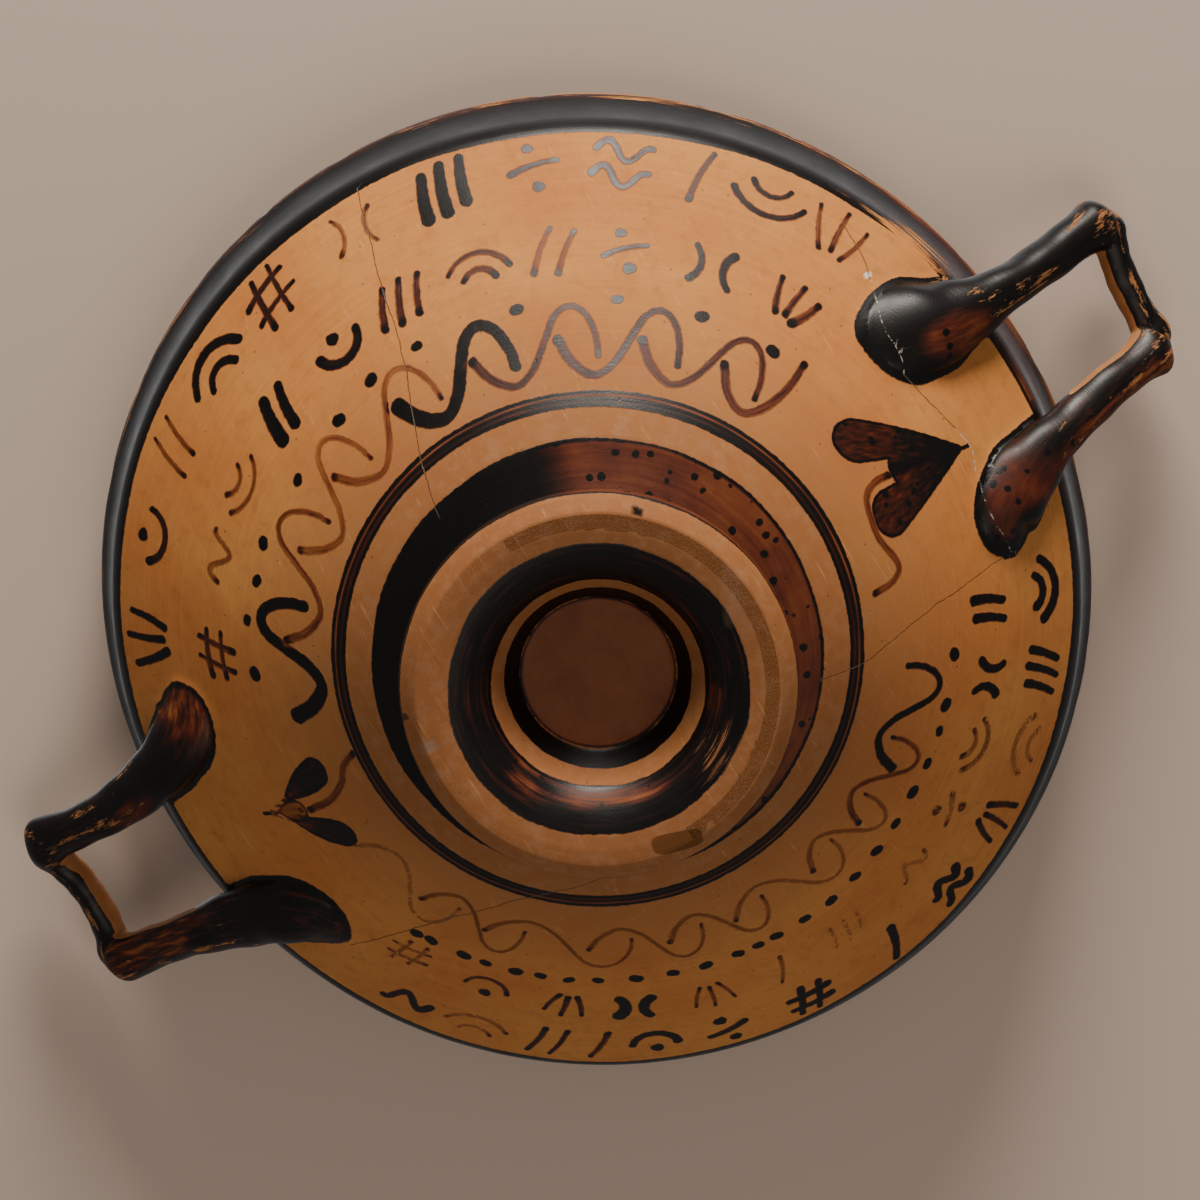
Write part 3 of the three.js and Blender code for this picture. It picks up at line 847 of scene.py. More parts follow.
def all_limbs():
    """Every limb, in its place."""
    made = []
    for handle in HANDLES:
        way = np.array([handle["turn"], handle["turn"], 1])
        shapes = [arm_limb(arm, handle["flare"], 1.7 * i + handle["turn"])
                  for i, arm in enumerate(handle["arms"])]
        shapes.append(bar_limb(handle, 0.8))
        for one in shapes:
            for part in ("points", "places", "across", "under"):
                one[part] = one[part] * way
        made += shapes
    return made


def on_limb(one, places):
    """Places in a limb's own frame: to its side, to its underside, and their share of its length."""
    gap = places[:, None] - one["places"][None]
    near = (gap ** 2).sum(2).argmin(1)
    off = gap[np.arange(len(places)), near]
    across, under = one["across"][near], one["under"][near]
    forward = (off * np.cross(under, across)).sum(1) / one["length"]
    return np.stack([(off * across).sum(1), (off * under).sum(1), one["share"][near] + forward], 1)


def drawn_in(points):
    """The handles' far ends drawn in a little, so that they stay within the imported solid."""
    for bound in (CAD_LOW.x / MM + SPARE_REACH, CAD_HIGH.x / MM - SPARE_REACH):
        side = math.copysign(1, bound)
        reach = side * points[:, 0] - REACH_START
        room = abs(bound) - REACH_START
        squeeze = min(1, room / reach.max()) if reach.max() > 0 else 1
        points[:, 0] = np.where(reach > 0, side * (REACH_START + reach * squeeze), points[:, 0])
    return points


def normals_of(points, faces):
    """Each point's outward direction."""
    sums = np.zeros_like(points)
    for face in faces:
        a, b, c = points[face[0]], points[face[1]], points[face[2]]
        push = np.cross(b - a, c - a)
        for corner in face:
            sums[corner] += push
    return sums / np.maximum(np.linalg.norm(sums, axis=1), 1e-12)[:, None]


def signed_distance(tree, places, limit=12.0):
    """Distance of each place from a closed surface in millimetres, negative inside it."""
    made = np.full(len(places), limit)
    for i, place in enumerate(places):
        near, normal, _, away = tree.find_nearest(Vector(place), limit)
        if near is not None:
            made[i] = math.copysign(away, (Vector(place) - near).dot(normal))
    return made


def close_to(places, points, margin):
    """Which places lie in the box of some points, grown by a margin."""
    low, high = points.min(0) - margin, points.max(0) + margin
    return np.nonzero(((places > low) & (places < high)).all(1))[0]


def smoothed_joint(points, normals, others):
    """The points pushed out where another surface is close, as wet clay is smoothed into a joint."""
    moved = points.copy()
    for tree, shape in others:
        near = close_to(points, shape, FILLET)
        if len(near) == 0:
            continue
        away = np.abs(signed_distance(tree, points[near], FILLET))
        share = np.maximum(FILLET - away, 0) / FILLET
        moved[near] += normals[near] * (FILLET / 4 * share ** 2)[:, None]
    return moved


def joined(body, limbs):
    """Body and limbs as one closed mesh, with the clay smoothed over every joint."""
    points = vertex_values(body.data, "co") / MM
    normals = vertex_values(body.data, "normal")
    outer = BVHTree.FromPolygons(points.tolist(), [tuple(p.vertices) for p in body.data.polygons])
    trees = [BVHTree.FromPolygons(one["points"].tolist(), one["faces"]) for one in limbs]
    grown = smoothed_joint(points, normals, [(t, one["points"]) for t, one in zip(trees, limbs)])
    grown[:, 2] = np.maximum(grown[:, 2], 0)
    move_vertices(body.data, grown)
    union = []
    for i, one in enumerate(limbs):
        shape = one["points"]
        others = [(outer, points)]
        others += [(trees[j], limbs[j]["points"]) for j in range(len(limbs))
                   if j != i and j // LIMBS_EACH == i // LIMBS_EACH]
        made = drawn_in(smoothed_joint(shape, normals_of(shape, one["faces"]), others))
        # No root may come through into the bowl
        radius = np.hypot(made[:, 0], made[:, 1])
        limit = wall_height(np.minimum(radius, SHOULDER[0])) + DEEPEST_ROOT
        buried = radius < LIP_NECK[0] - 1
        made[buried, 2] = np.minimum(made[buried, 2], limit[buried])
        union.append(plain_object(f"limb_{i}", made * MM, one["faces"]))
    for part in union:
        part.data.shade_smooth()
        modifier = body.modifiers.new("Joint", "BOOLEAN")
        modifier.operation = "UNION"
        modifier.solver = "MANIFOLD"
        modifier.object = part
    whole = plain_copy(body, "painted_kylix")
    remove(body, *union)
    return whole, trees


# ---------------------------------------------------------------- the paint

def measured(points):
    """Radius and angle of each point of the cup, with its oval pressed back to a circle."""
    rise = np.maximum(0, points[:, 2] - BOWL_START[1]) / (HEIGHT - BOWL_START[1])
    pinch = bpy.context.scene.kylix_body.ovality / MM * rise / LIP_RADIUS
    x, y = points[:, 0] / (1 - pinch), points[:, 1] / (1 + pinch)
    return np.hypot(x, y), np.degrees(np.arctan2(y, x))


def turn_between(theta, middle):
    """The angle from a middle direction, between -180 and 180 degrees."""
    return (theta - middle + 180) % 360 - 180


def smooth_curve(points, steps=9):
    """A smooth line through given points."""
    points = np.array(points, float)
    ends = [2 * points[0] - points[1], *points, 2 * points[-1] - points[-2]]
    made = [points[0]]
    for a, b, c, d in zip(ends, ends[1:], ends[2:], ends[3:]):
        for t in np.linspace(0, 1, steps + 1)[1:]:
            made.append(0.5 * (2 * b + (c - a) * t + (2 * a - 5 * b + 4 * c - d) * t * t
                               + (3 * b - a - 3 * c + d) * t ** 3))
    return np.array(made)


def stroke_line(shape):
    """The middle line of one stroke of a sign, and its own half width if it is a dot."""
    kind, x0, y0, *rest = shape
    if kind == "dot":
        return np.array([(x0 - 0.15, y0), (x0 + 0.15, y0)]), rest[0]
    if kind == "arc":
        radius, first, last = rest
        angles = np.radians(np.linspace(first, last, 15))
        return np.stack([x0 + radius * np.cos(angles), y0 + radius * np.sin(angles)], 1), None
    x1, y1, size = rest
    share = np.linspace(0, 1, 21)
    line = np.stack([x0 + (x1 - x0) * share, y0 + (y1 - y0) * share], 1)
    if kind == "wave":
        line[:, 1] += size * np.sin(share * 2.6 * math.pi)
    else:
        length = math.hypot(x1 - x0, y1 - y0)
        line += np.outer(size * np.sin(share * math.pi), ((y0 - y1) / length, (x1 - x0) / length))
    return line, None


def along_line(line, places):
    """Each place's signed distance from a line, how far it is past the line's end, and its share."""
    start = line[:-1]
    step = np.diff(line, axis=0)
    length = np.linalg.norm(step, axis=1)
    before = np.concatenate([[0], np.cumsum(length)])
    gap = places[:, None] - start[None]
    t = (gap * step).sum(2) / length ** 2
    held = np.clip(t, 0, 1)
    off = gap - held[..., None] * step
    best = (off ** 2).sum(2).argmin(1)
    rows = np.arange(len(places))
    side = (step[best, 0] * gap[rows, best, 1] - step[best, 1] * gap[rows, best, 0]) / length[best]
    free = t[rows, best]
    inner = ((free < 0) & (best > 0)) | ((free > 1) & (best < len(step) - 1))
    around = np.sqrt((off[rows, best] ** 2).sum(1))
    across = np.where(inner, np.copysign(around, side), side)
    along = before[best] + np.where(inner, held[rows, best], free) * length[best]
    return across, np.abs(along - before[-1] / 2) - before[-1] / 2, along / before[-1]


class Paint:
    """What the brush left on the cup, for every vertex: distances in millimetres and strengths."""

    BARE = -5.0  # how far from any paint a vertex counts as when nothing is near
    MARGIN = 1.5  # how far past its edge a field's tone is set, over one face's width
    REACH = 1.7  # the same for a stroke's route
    LIMB_REACH = 6.0  # how far from a limb its own frame is measured

    def __init__(self, points, limbs, trees, seed):
        self.points = points
        self.radius, self.theta = measured(points)
        self.along, self.away = PROFILE.nearest(np.stack([self.radius, points[:, 2]], 1))
        stem = PROFILE.station(STEM)
        self.outer = (self.along > stem) & (self.along < PROFILE.ends[2]) & (self.away < 2.5)
        self.random = np.random.default_rng(seed)
        count = len(points)
        self.slip = np.full(count, self.BARE)
        self.slip_tone = np.ones(count)
        self.streaky = np.full(count, 0.12)
        self.grain = np.stack([points[:, 0] * RING_DRAW, points[:, 1] * RING_DRAW, self.along], 1)
        self.strokes = np.tile((0.0, 0.0, self.BARE), (STROKE_LAYERS, count, 1))
        self.stroke_tone = np.full(count, 0.8)
        self.crack = np.zeros((count, 3))
        self.wear = np.zeros(count)
        self.limb_away = np.full(count, self.LIMB_REACH)
        self.limb_index = np.full(count, -1)
        self.limb_frame = np.zeros((count, 3))
        self.limb_wear = np.zeros(count)
        self.spotted = np.zeros(count)
        for i, (tree, one) in enumerate(zip(trees, limbs)):
            near = close_to(points, one["points"], self.LIMB_REACH)
            away = signed_distance(tree, points[near], self.LIMB_REACH)
            closer = away < self.limb_away[near]
            chosen = near[closer]
            self.limb_away[chosen] = away[closer]
            self.limb_index[chosen] = i
            self.limb_frame[chosen] = on_limb(one, points[chosen])

    def mark(self, where, **values):
        """Gives the chosen vertices new values."""
        for name, value in values.items():
            held = getattr(self, name)
            held[where] = np.broadcast_to(value, held.shape)[where]

    def wander(self, size, phase):
        """A hand's slow straying round the cup."""
        turn = np.radians(self.theta)
        made = np.sin(3 * turn + phase) + 0.7 * np.sin(7 * turn + 2.1 * phase)
        return size * (made + 0.5 * np.sin(16 * turn + 3.3 * phase))

    def band(self, start, end, tone, size=0.12):
        """A painted ring between two places along the profile."""
        inside = np.minimum(self.along - start + self.wander(size, start),
                            end - self.along + self.wander(size, end))
        self.mark(inside > np.maximum(self.slip, -self.MARGIN), slip_tone=tone)
        self.slip = np.maximum(self.slip, inside)

    def local(self, middle, radius):
        """Places on the wall near a point, unrolled flat: to the side and outwards."""
        turn = np.radians(turn_between(self.theta, middle))
        return np.stack([turn * self.radius, (self.radius - radius) / WALL_SLOPE], 1)

    def stroke(self, flat, line, half_width, tone, taper=0.25):
        """One brush stroke along a line of the unrolled wall."""
        low, high = line.min(0) - 5, line.max(0) + 5
        near = np.nonzero(self.outer & ((flat > low) & (flat < high)).all(1))[0]
        across, beyond, share = along_line(line, flat[near])
        width = half_width * (1.08 - taper * np.clip(share, 0, 1))
        away = np.hypot(across, np.maximum(beyond, 0))
        held = away < width + self.REACH
        around = near[away < width + self.REACH + 1.3]
        used = [(self.strokes[i, around, 2] > -4).sum() for i in range(STROKE_LAYERS)]
        near, made = near[held], np.stack([across, beyond, width], 1)[held]
        layer = int(np.argmin(used))
        old = self.strokes[layer, near]
        fresh = (width - away)[held] > old[:, 2] - np.hypot(old[:, 0], np.maximum(old[:, 1], 0))
        self.strokes[layer, near[fresh]] = made[fresh]
        darker = (width - away)[held] > -0.9
        self.stroke_tone[near[darker]] = tone

    def sign(self, middle, radius, name, tone, half_width, size=1.0):
        """One sign, turned and scaled a little as a hand would."""
        flat = self.local(middle, radius)
        lean = math.radians(self.random.uniform(-9, 9))
        grown = size * self.random.uniform(0.92, 1.06)
        turn = np.array([[math.cos(lean), -math.sin(lean)], [math.sin(lean), math.cos(lean)]])
        for shape in SIGNS[name]:
            line, own = stroke_line(shape)
            thick = (own + 0.4 * half_width if own else half_width) * self.random.uniform(0.85, 1.12)
            self.stroke(flat, line @ turn.T * grown, thick, tone)

    def dots(self, places, tone):
        for middle, radius in places:
            size = self.random.uniform(0.95, 1.35)
            line = np.array([(-0.3, 0), (0.3, self.random.uniform(-0.4, 0.4))])
            self.stroke(self.local(middle, radius), line, size, tone, 0.0)

    def wave(self, crests, radii, way):
        """The running wave: every turn hooks into the next one."""
        trough, crest = radii
        angles = [c[0] for c in crests]
        for i, (angle, tone, half_width) in enumerate(crests):
            before = angles[max(i - way, 0)] if way > 0 else angles[min(i + 1, len(angles) - 1)]
            spacing = abs(angle - before) or 15.0
            turns = [(angle + way * a * spacing, trough + b * (crest - trough)) for a, b in WAVE_TURN]
            flat = self.local(angle, 0)
            line = smooth_curve([(math.radians(a - angle) * r, r / WALL_SLOPE) for a, r in turns])
            self.stroke(flat, line, half_width, tone, 0.3)

    def leaf(self, leaf):
        """An ivy leaf: two lobes and the part between them, drawn out to one tip, and its stem."""
        middle, radius = leaf["tip"]
        flat = self.local(middle, radius)

        def spot(place):
            return np.array([math.radians(turn_between(place[0], middle)) * place[1],
                             (place[1] - radius) / WALL_SLOPE])

        low, high = leaf["tones"]
        parts = [(leaf["notch"], leaf["join"], (high, high))]
        parts += [(lobe, leaf["size"], (low, high)) for lobe in leaf["lobes"]]
        for place, full, tones in parts:
            start = spot(place)
            gap = flat - start
            step = -start
            share = np.clip(gap @ step / (step @ step), 0, 1)
            size = full * np.clip(1 - (share / leaf["waist"]) ** leaf["roundness"], 0, 1)
            size = np.maximum(size, 0.2 + 0.2 * leaf["join"] * (1 - share))
            inside = size - np.linalg.norm(gap - share[:, None] * step, axis=1)
            inside = np.where(self.outer, inside, self.BARE)
            # The brush ran from the lobe to the tip
            way = step / np.linalg.norm(step)
            drawn = np.stack([gap @ way * LEAF_DRAW, gap @ (-way[1], way[0]), np.zeros(len(gap))], 1)
            self.mark(inside > -0.8, slip_tone=np.interp(share, (0.3, 0.75), tones), streaky=0.17,
                      spotted=0.5, grain=drawn)
            self.slip = np.maximum(self.slip, np.where(inside > -3, inside, self.BARE))
        self.stroke(flat, smooth_curve([spot(place) for place in leaf["stem"]]), 0.85, 0.5, 0.1)
        self.stroke(flat, np.array([(0.0, -0.6), (0.3, 1.1)]), 0.45, 0.9, 0.0)

    def split(self, route, fill):
        """A crack along a route of angles and radii."""
        middle = route[len(route) // 2][0]
        flat = self.local(middle, 0)
        line = smooth_curve([(math.radians(a - middle) * r, r / WALL_SLOPE) for a, r in route], 6)
        near = np.nonzero(self.outer & ((flat > line.min(0) - 4) & (flat < line.max(0) + 4)).all(1))[0]
        across, beyond, _ = along_line(line, flat[near])
        held = (np.abs(across) < 2.6) & (beyond < 0.8)
        self.crack[near[held]] = np.stack([across[held], np.ones(held.sum()),
                                           np.full(held.sum(), fill)], 1)

    def rings(self):
        """The wash under the foot, the painted rings and bands, and the black inside."""
        disc, neck, shelf, rim = (PROFILE.station(place) for place in
                                  (HOLLOW_DISC, HOLLOW_NECK, HOLLOW_SHELF, HOLLOW_RIM))
        self.band(self.BARE, disc, 0.37, 0.0)
        self.band(disc, neck, 1.0, 0.1)
        self.band(shelf, rim, 0.97, 0.16)
        self.band(PROFILE.station((FOOT_RADIUS, FOOT_EDGE[0])),
                  PROFILE.outer_station(STEM_BAND_END), 1.0, 0.14)
        start, end = (PROFILE.outer_station(r) for r in RING_BAND)
        self.band(start, end, 0.97, 0.05)
        for radius, breadth, thinner in RING_STREAKS:
            middle = PROFILE.outer_station(radius) + self.wander(0.08, radius)
            self.slip_tone -= thinner * bell(self.along - middle, breadth)
        self.band(PROFILE.outer_station(LIP_BAND_START), PROFILE.along[-1] + 9, 0.97, 0.2)
        self.slip[self.away > 2.2] = self.BARE

    def firing(self):
        """Where the kiln's air turned the slip red: one side of the stem, patches under the foot."""
        stem = ((self.along > PROFILE.station((FOOT_RADIUS, FOOT_EDGE[0])))
                & (self.along < PROFILE.ends[0]) & (self.slip > -self.MARGIN))
        facing = np.clip((np.cos(np.radians(self.theta) - math.radians(RED_STEM)) + 0.06) / 0.36, 0, 1)
        red = facing * facing * (3 - 2 * facing)
        self.mark(stem, slip_tone=1 - 0.5 * red, streaky=0.05, spotted=red)
        shelf = PROFILE.station(HOLLOW_SHELF)
        under = (self.along > shelf - 1) & (self.along < PROFILE.station(HOLLOW_RIM) + 1)
        patch = sum(strength * bell(turn_between(self.theta, middle), breadth, 4)
                    for middle, breadth, strength in RED_PATCHES)
        patch = patch * bell(self.along - shelf - 3.2, 2.4, 4)
        scratched = bell(turn_between(self.theta, FOOT_SCRATCHES[0]), FOOT_SCRATCHES[1])
        self.mark(under, slip_tone=0.96 - 0.44 * patch, spotted=patch, streaky=0.34,
                  wear=0.5 * scratched)
        self.mark(self.along < PROFILE.station(HOLLOW_DISC) - 0.5, streaky=0.0)
        lip = (self.along > PROFILE.ends[1] - 2) & (self.along < PROFILE.ends[2])
        beside = bell(turn_between(self.theta, THIN_LIP[0]), THIN_LIP[1])
        self.mark(lip, slip_tone=0.97 - 0.24 * beside, streaky=0.1 + 0.16 * beside)

    def limb_tone(self, one, look, chosen, frame):
        """How dark a limb's slip is: along it, down its outer side, and in its one patch."""
        tone = np.interp(frame[:, 2], ARM_STATIONS, look["along"])
        middle = np.interp(frame[:, 2], one["share"], one["places"][:, 1])
        outwards = np.sign(one["places"][0, 1]) * (self.points[chosen, 1] - middle)
        lower = np.clip((outwards - 0.6) / 1.4, 0, 1) * np.clip(frame[:, 2] / 0.3 - 0.6, 0, 1)
        tone = tone + (look["outer"] - tone) * lower
        across, share, half_across, half_share, patch_tone = look["patch"]
        off = ((frame[:, 0] - across) / half_across) ** 2 + ((frame[:, 2] - share) / half_share) ** 2
        return tone + (patch_tone - tone) * np.clip(1.4 * np.exp(-off ** 2), 0, 1)

    def handles(self, limbs):
        """The dipped handles, whose paint runs a little way onto the wall round each root."""
        inside = HANDLE_PAINT - self.limb_away + self.wander(0.12, 2.0)
        on = (self.limb_index >= 0) & ~((self.along > PROFILE.ends[2]) & (self.away < 1.5))
        for i, one in enumerate(limbs):
            look = LIMB_TONES[one["name"]]
            chosen = on & (self.limb_index == i) & (inside > -self.MARGIN)
            frame = self.limb_frame[chosen]
            low = np.clip(1.5 - self.away[chosen] / 1.2, 0, 1) * (self.radius[chosen] < 100)
            self.slip_tone[chosen] = self.limb_tone(one, look, chosen, frame) + look["outline"] * low
            self.streaky[chosen] = np.interp(frame[:, 2], ARM_STATIONS, look["streaks"])
            self.spotted[chosen] = look["spots"] * (frame[:, 2] < 0.5)
            self.limb_wear[chosen] = look["wear"] + 0.26 * bell(frame[:, 0] - look["ridge"], 1.3)
            self.grain[chosen] = frame * (1, 1, one["length"] * LIMB_DRAW) + (0, 0, 11 * i)
        self.mark(on, slip=np.maximum(self.slip, inside))

    def reserve(self, normals):
        """The handles' inner faces, towards the finger gap, were left without paint."""
        side = np.sign(self.points[:, 0])
        gap = np.stack([side * FINGER_GAP[0], np.zeros(len(side)), np.full(len(side), FINGER_GAP[1])], 1)
        way = gap - self.points
        way /= np.linalg.norm(way, axis=1)[:, None]
        facing = (way * normals).sum(1)
        free = (self.limb_index >= 0) & (self.radius > 111) & (self.limb_away < 1.5)
        self.mark(free, slip=np.minimum(self.slip, (0.5 - facing) * 7))

    def worn(self):
        """Paint rubbed away at the handles' corners and ridges, and along the lip."""
        for handle in HANDLES:
            for arm in handle["arms"]:
                place = corner_of(arm) * (handle["turn"], handle["turn"], 1)
                away = np.linalg.norm(self.points - place, axis=1)
                self.wear = np.maximum(self.wear, CORNER_WEAR * bell(away, 11))
        out = (self.limb_index >= 0) & (self.radius > 104)
        self.mark(out, wear=np.maximum(self.wear, self.limb_wear))
        rise = self.points[:, 2] - HEIGHT + RUBBED_LIP
        rim = (self.along > PROFILE.ends[1]) & (rise > 0) & (self.away < 1.5)
        more = 0.72 + 0.28 * np.cos(np.radians(turn_between(self.theta, -50)))
        rubbed = more * rise / (RUBBED_LIP - 1)
        self.mark(rim, wear=np.maximum(self.wear, np.minimum(rubbed, LIP_WEAR)),
                  slip_tone=self.slip_tone - 0.4 * np.clip(rubbed, 0, 1))
        turn, half_turn, radius, breadth = FLAKED_BAND
        beside = bell(turn_between(self.theta, turn), half_turn) * bell(self.radius - radius, breadth)
        self.mark(self.outer, wear=np.maximum(self.wear, 0.95 * beside))

    def store(self, mesh):
        """Writes what was measured as attributes of the mesh."""
        measures = {name: getattr(self, name) for name in NUMBERS + ROUTES}
        measures.update((f"stroke_{i + 1}", layer) for i, layer in enumerate(self.strokes))
        for name, values in measures.items():
            kind, field = ("FLOAT", "value") if values.ndim == 1 else ("FLOAT_VECTOR", "vector")
            held = mesh.attributes.new(name, kind, "POINT")
            held.data.foreach_set(field, np.ascontiguousarray(values, np.float32).ravel())


def row_radius(middle, low, rise):
    """The radius of a row of signs, where those on the back climb towards the lip half way."""
    return low + rise * math.sin(math.pi * np.clip((middle - 25) / 130, 0, 1))


def paint_cup(mesh, limbs, trees, seed):
    """Measures all the paint on the finished mesh."""
    points = vertex_values(mesh, "co").astype(float) / MM
    normals = vertex_values(mesh, "normal").astype(float)
    paint = Paint(points, limbs, trees, seed)
    paint.rings()
    paint.firing()
    paint.handles(limbs)
    for leaf in LEAVES:
        paint.leaf(leaf)
    for row, low, rise, size in SIGN_ROWS:
        for middle, name, tone, half_width in row:
            paint.sign(middle, row_radius(middle, low, rise), name, tone, half_width, size)
    paint.dots(FRONT_DOTS, 1.0)
    paint.dots([(a, 75 + 1.8 * min(1, max(0, a - 60) / 20)) for a in BACK_DOTS], 0.95)
    paint.wave(FRONT_CRESTS, FRONT_WAVE, 1)
    start = WAVE_END[0][0]
    tail = smooth_curve([(math.radians(a - start) * r, r / WALL_SLOPE) for a, r in WAVE_END])
    paint.stroke(paint.local(start, 0), tail, 1.0, 0.6, 0.2)
    paint.wave(BACK_CRESTS, BACK_WAVE, -1)
    for route, fill in CRACKS:
        paint.split(route, fill)
    paint.reserve(normals)
    paint.worn()
    paint.store(mesh)


def chip_lip(mesh, seed):
    """Small chips knocked out of the lip's edge."""
    random = np.random.default_rng(seed)
    points = vertex_values(mesh, "co").astype(float) / MM
    radius, theta = measured(points)
    edge = (points[:, 2] > HEIGHT - 5) & (radius < LIP_RADIUS + 1.5) & (radius > 98)
    for _ in range(CHIPS):
        middle = random.uniform(-180, 180)
        width = random.uniform(*CHIP_WIDTHS)
        depth = random.uniform(*CHIP_DEPTHS)
        away = turn_between(theta, middle) * math.pi / 180 * LIP_RADIUS
        drop = depth * bell(away, width) * bell(HEIGHT - points[:, 2], CHIP_REACH)
        drop = np.where(edge, drop, 0)
        points[:, 2] -= drop
        points[:, :2] *= (1 - 0.35 * drop / LIP_RADIUS)[:, None]
    move_vertices(mesh, points)


# ---------------------------------------------------------------- the finish

def brush_strokes(tree, mm):
    """The strokes' own coverage, the streaks of the brush, and the pools at the strokes' ends."""
    nearest = direction = None
    for i in range(STROKE_LAYERS):
        parts = add(tree, "Attribute", out="Vector", attribute_name=f"stroke_{i + 1}")
        across, beyond, width = add(tree, "SeparateXYZ", parts, out=slice(3))
        past = add(tree, "Math", beyond, 0.0, operation="MAXIMUM")
        square = add(tree, "Math", across, across, operation="MULTIPLY")
        sum_square = add(tree, "Math", past, past, square, operation="MULTIPLY_ADD")
        away = add(tree, "Math", sum_square, operation="SQRT")
        inside = add(tree, "Math", width, away, operation="SUBTRACT")
        if nearest is None:
            nearest, direction = inside, parts
            continue
        closer = add(tree, "Math", inside, nearest, operation="GREATER_THAN")
        direction = add(tree, "Mix", {0: closer, 4: direction, 5: parts}, out=1, data_type="VECTOR")
        nearest = add(tree, "Math", inside, nearest, operation="MAXIMUM")
    # Brush hairs are about 0.2 mm apart; they are drawn 0.4 mm apart so that they show
    hair = add(tree, "VectorMath", direction, (2.5, 0.14, 0.0), operation="MULTIPLY")
    drift = add(tree, "VectorMath", {0: mm, "Scale": 0.05}, operation="SCALE")
    spread = add(tree, "VectorMath", hair, drift, operation="ADD")
    streak = add(tree, "TexNoise", {"Vector": spread, "Scale": 1.0, "Detail": 2.0})
    past_end = add(tree, "SeparateXYZ", direction, out=1)
    pool = add(tree, "MapRange", past_end, -1.7, -0.2, 0.0, 0.34)
    return nearest, streak, pool


def fired_clay(tree, mm, wheel, mottle, settings):
    """The clay's own colour: broad pale and reddish clouds, and fine lines round the cup."""
    blotch = add(tree, "TexNoise", {"Vector": mm, "Scale": 0.035, "Detail": 4.0})
    broad = add(tree, "MapRange", blotch, 0.36, 0.64)
    base = add(tree, "Mix", {0: broad, 6: settings.clay, 7: settings.clay_pale}, out=2, data_type="RGBA")
    spots = add(tree, "MapRange", mottle, 0.5, 0.8, 0.0, 0.5)
    redder = add(tree, "Mix", {0: spots, 6: base, 7: settings.clay_deep}, out=2, data_type="RGBA")
    lines = add(tree, "MapRange", wheel, 0.3, 0.7, 0.93, 1.05)
    return add(tree, "VectorMath", {0: redder, "Scale": lines}, operation="SCALE")


def dulled(tree, base, mottle, radius, height, settings):
    """The clay grows darker under the foot, and darker with painted shade towards the stem and out on
    the handles; dust settles where it is darker."""
    # Darker towards the underside of the foot
    low = add(tree, "MapRange", height, DARKER_FOOT[0], DARKER_FOOT[1], 0.0, 0.85)
    # Painted shade: darker towards the stem
    shade_near_stem = add(tree, "MapRange", radius, SHADED_WALL[0], SHADED_WALL[1], 0.0, 0.78)
    low = add(tree, "Math", low, shade_near_stem, operation="MAXIMUM")
    # Painted shade on the handles' bare clay
    shade_on_handle = add(tree, "MapRange", radius, SHADED_HANDLES[0], SHADED_HANDLES[1], 0.0, 0.7)
    low = add(tree, "Math", low, shade_on_handle, operation="MAXIMUM")
    darkened = add(tree, "Mix", {0: low, 6: base, 7: settings.clay_darker_and_shaded}, out=2, data_type="RGBA")
    dusty = add(tree, "MapRange", mottle, 0.46, 0.68, 0.0, 0.34)
    dusty = add(tree, "Math", dusty, low, operation="MULTIPLY")
    return add(tree, "Mix", {0: dusty, 6: darkened, 7: linear(DUST)}, out=2, data_type="RGBA")


def marked(tree, mm, base):
    """The clay with its scuffs and its specks of grit, and where the specks lie."""
    # Dark grit shows as sparse specks of about half a millimetre
    grit = add(tree, "TexVoronoi", {"Vector": mm, "Scale": 0.22})
    speck = add(tree, "MapRange", grit, 0.04, 0.075, 0.5, 0.0)
    # Hair-thin scuffs, paler than the clay, cross the wall at a slant
    slanted = add(tree, "Mapping", {"Vector": mm, "Rotation": (0.4, 0.2, 0.9),
                                    "Scale": (1.1, 0.07, 0.35)})
    scuff = add(tree, "TexNoise", {"Vector": slanted, "Scale": 1.0, "Detail": 3.0})
    scuff = add(tree, "MapRange", scuff, 0.64, 0.76, 0.0, 0.34)
    scuffed = add(tree, "Mix", {0: scuff, 6: base, 7: linear(SCUFF)}, out=2, data_type="RGBA")
    return add(tree, "Mix", {0: speck, 6: scuffed, 7: linear(GRIT)}, out=2, data_type="RGBA"), speck


def burnished_clay(tree, mm, settings):
    """Bare iron-rich clay, rubbed smooth on the wheel: its colour, its height and its grain."""
    x, y, z = add(tree, "SeparateXYZ", mm, out=slice(3))
    square = add(tree, "Math", x, x, operation="MULTIPLY")
    both = add(tree, "Math", y, y, square, operation="MULTIPLY_ADD")
    radius = add(tree, "Math", both, operation="SQRT")
    # Lines left by the wet sponge, about 0.7 mm apart, run round the cup
    rise = add(tree, "Math", z, 0.6, radius, operation="MULTIPLY_ADD")
    line = add(tree, "Math", rise, 1.4, operation="MULTIPLY")
    slow_x = add(tree, "Math", x, 0.035, operation="MULTIPLY")
    slow_y = add(tree, "Math", y, 0.035, operation="MULTIPLY")
    ringed = add(tree, "CombineXYZ", line, slow_x, slow_y)
    wheel = add(tree, "TexNoise", {"Vector": ringed, "Scale": 1.0, "Detail": 3.0})
    mottle = add(tree, "TexNoise", {"Vector": mm, "Scale": 0.32, "Detail": 5.0, "Roughness": 0.62})
    grain = add(tree, "TexNoise", {"Vector": mm, "Scale": 2.4, "Detail": 2.0})
    base = dulled(tree, fired_clay(tree, mm, wheel, mottle, settings), mottle, radius, z, settings)
    base, speck = marked(tree, mm, base)
    rough = add(tree, "Math", grain, 0.03, operation="MULTIPLY")
    height = add(tree, "Math", wheel, 0.035, rough, operation="MULTIPLY_ADD")
    return base, add(tree, "Math", speck, -0.08, height, operation="MULTIPLY_ADD"), grain


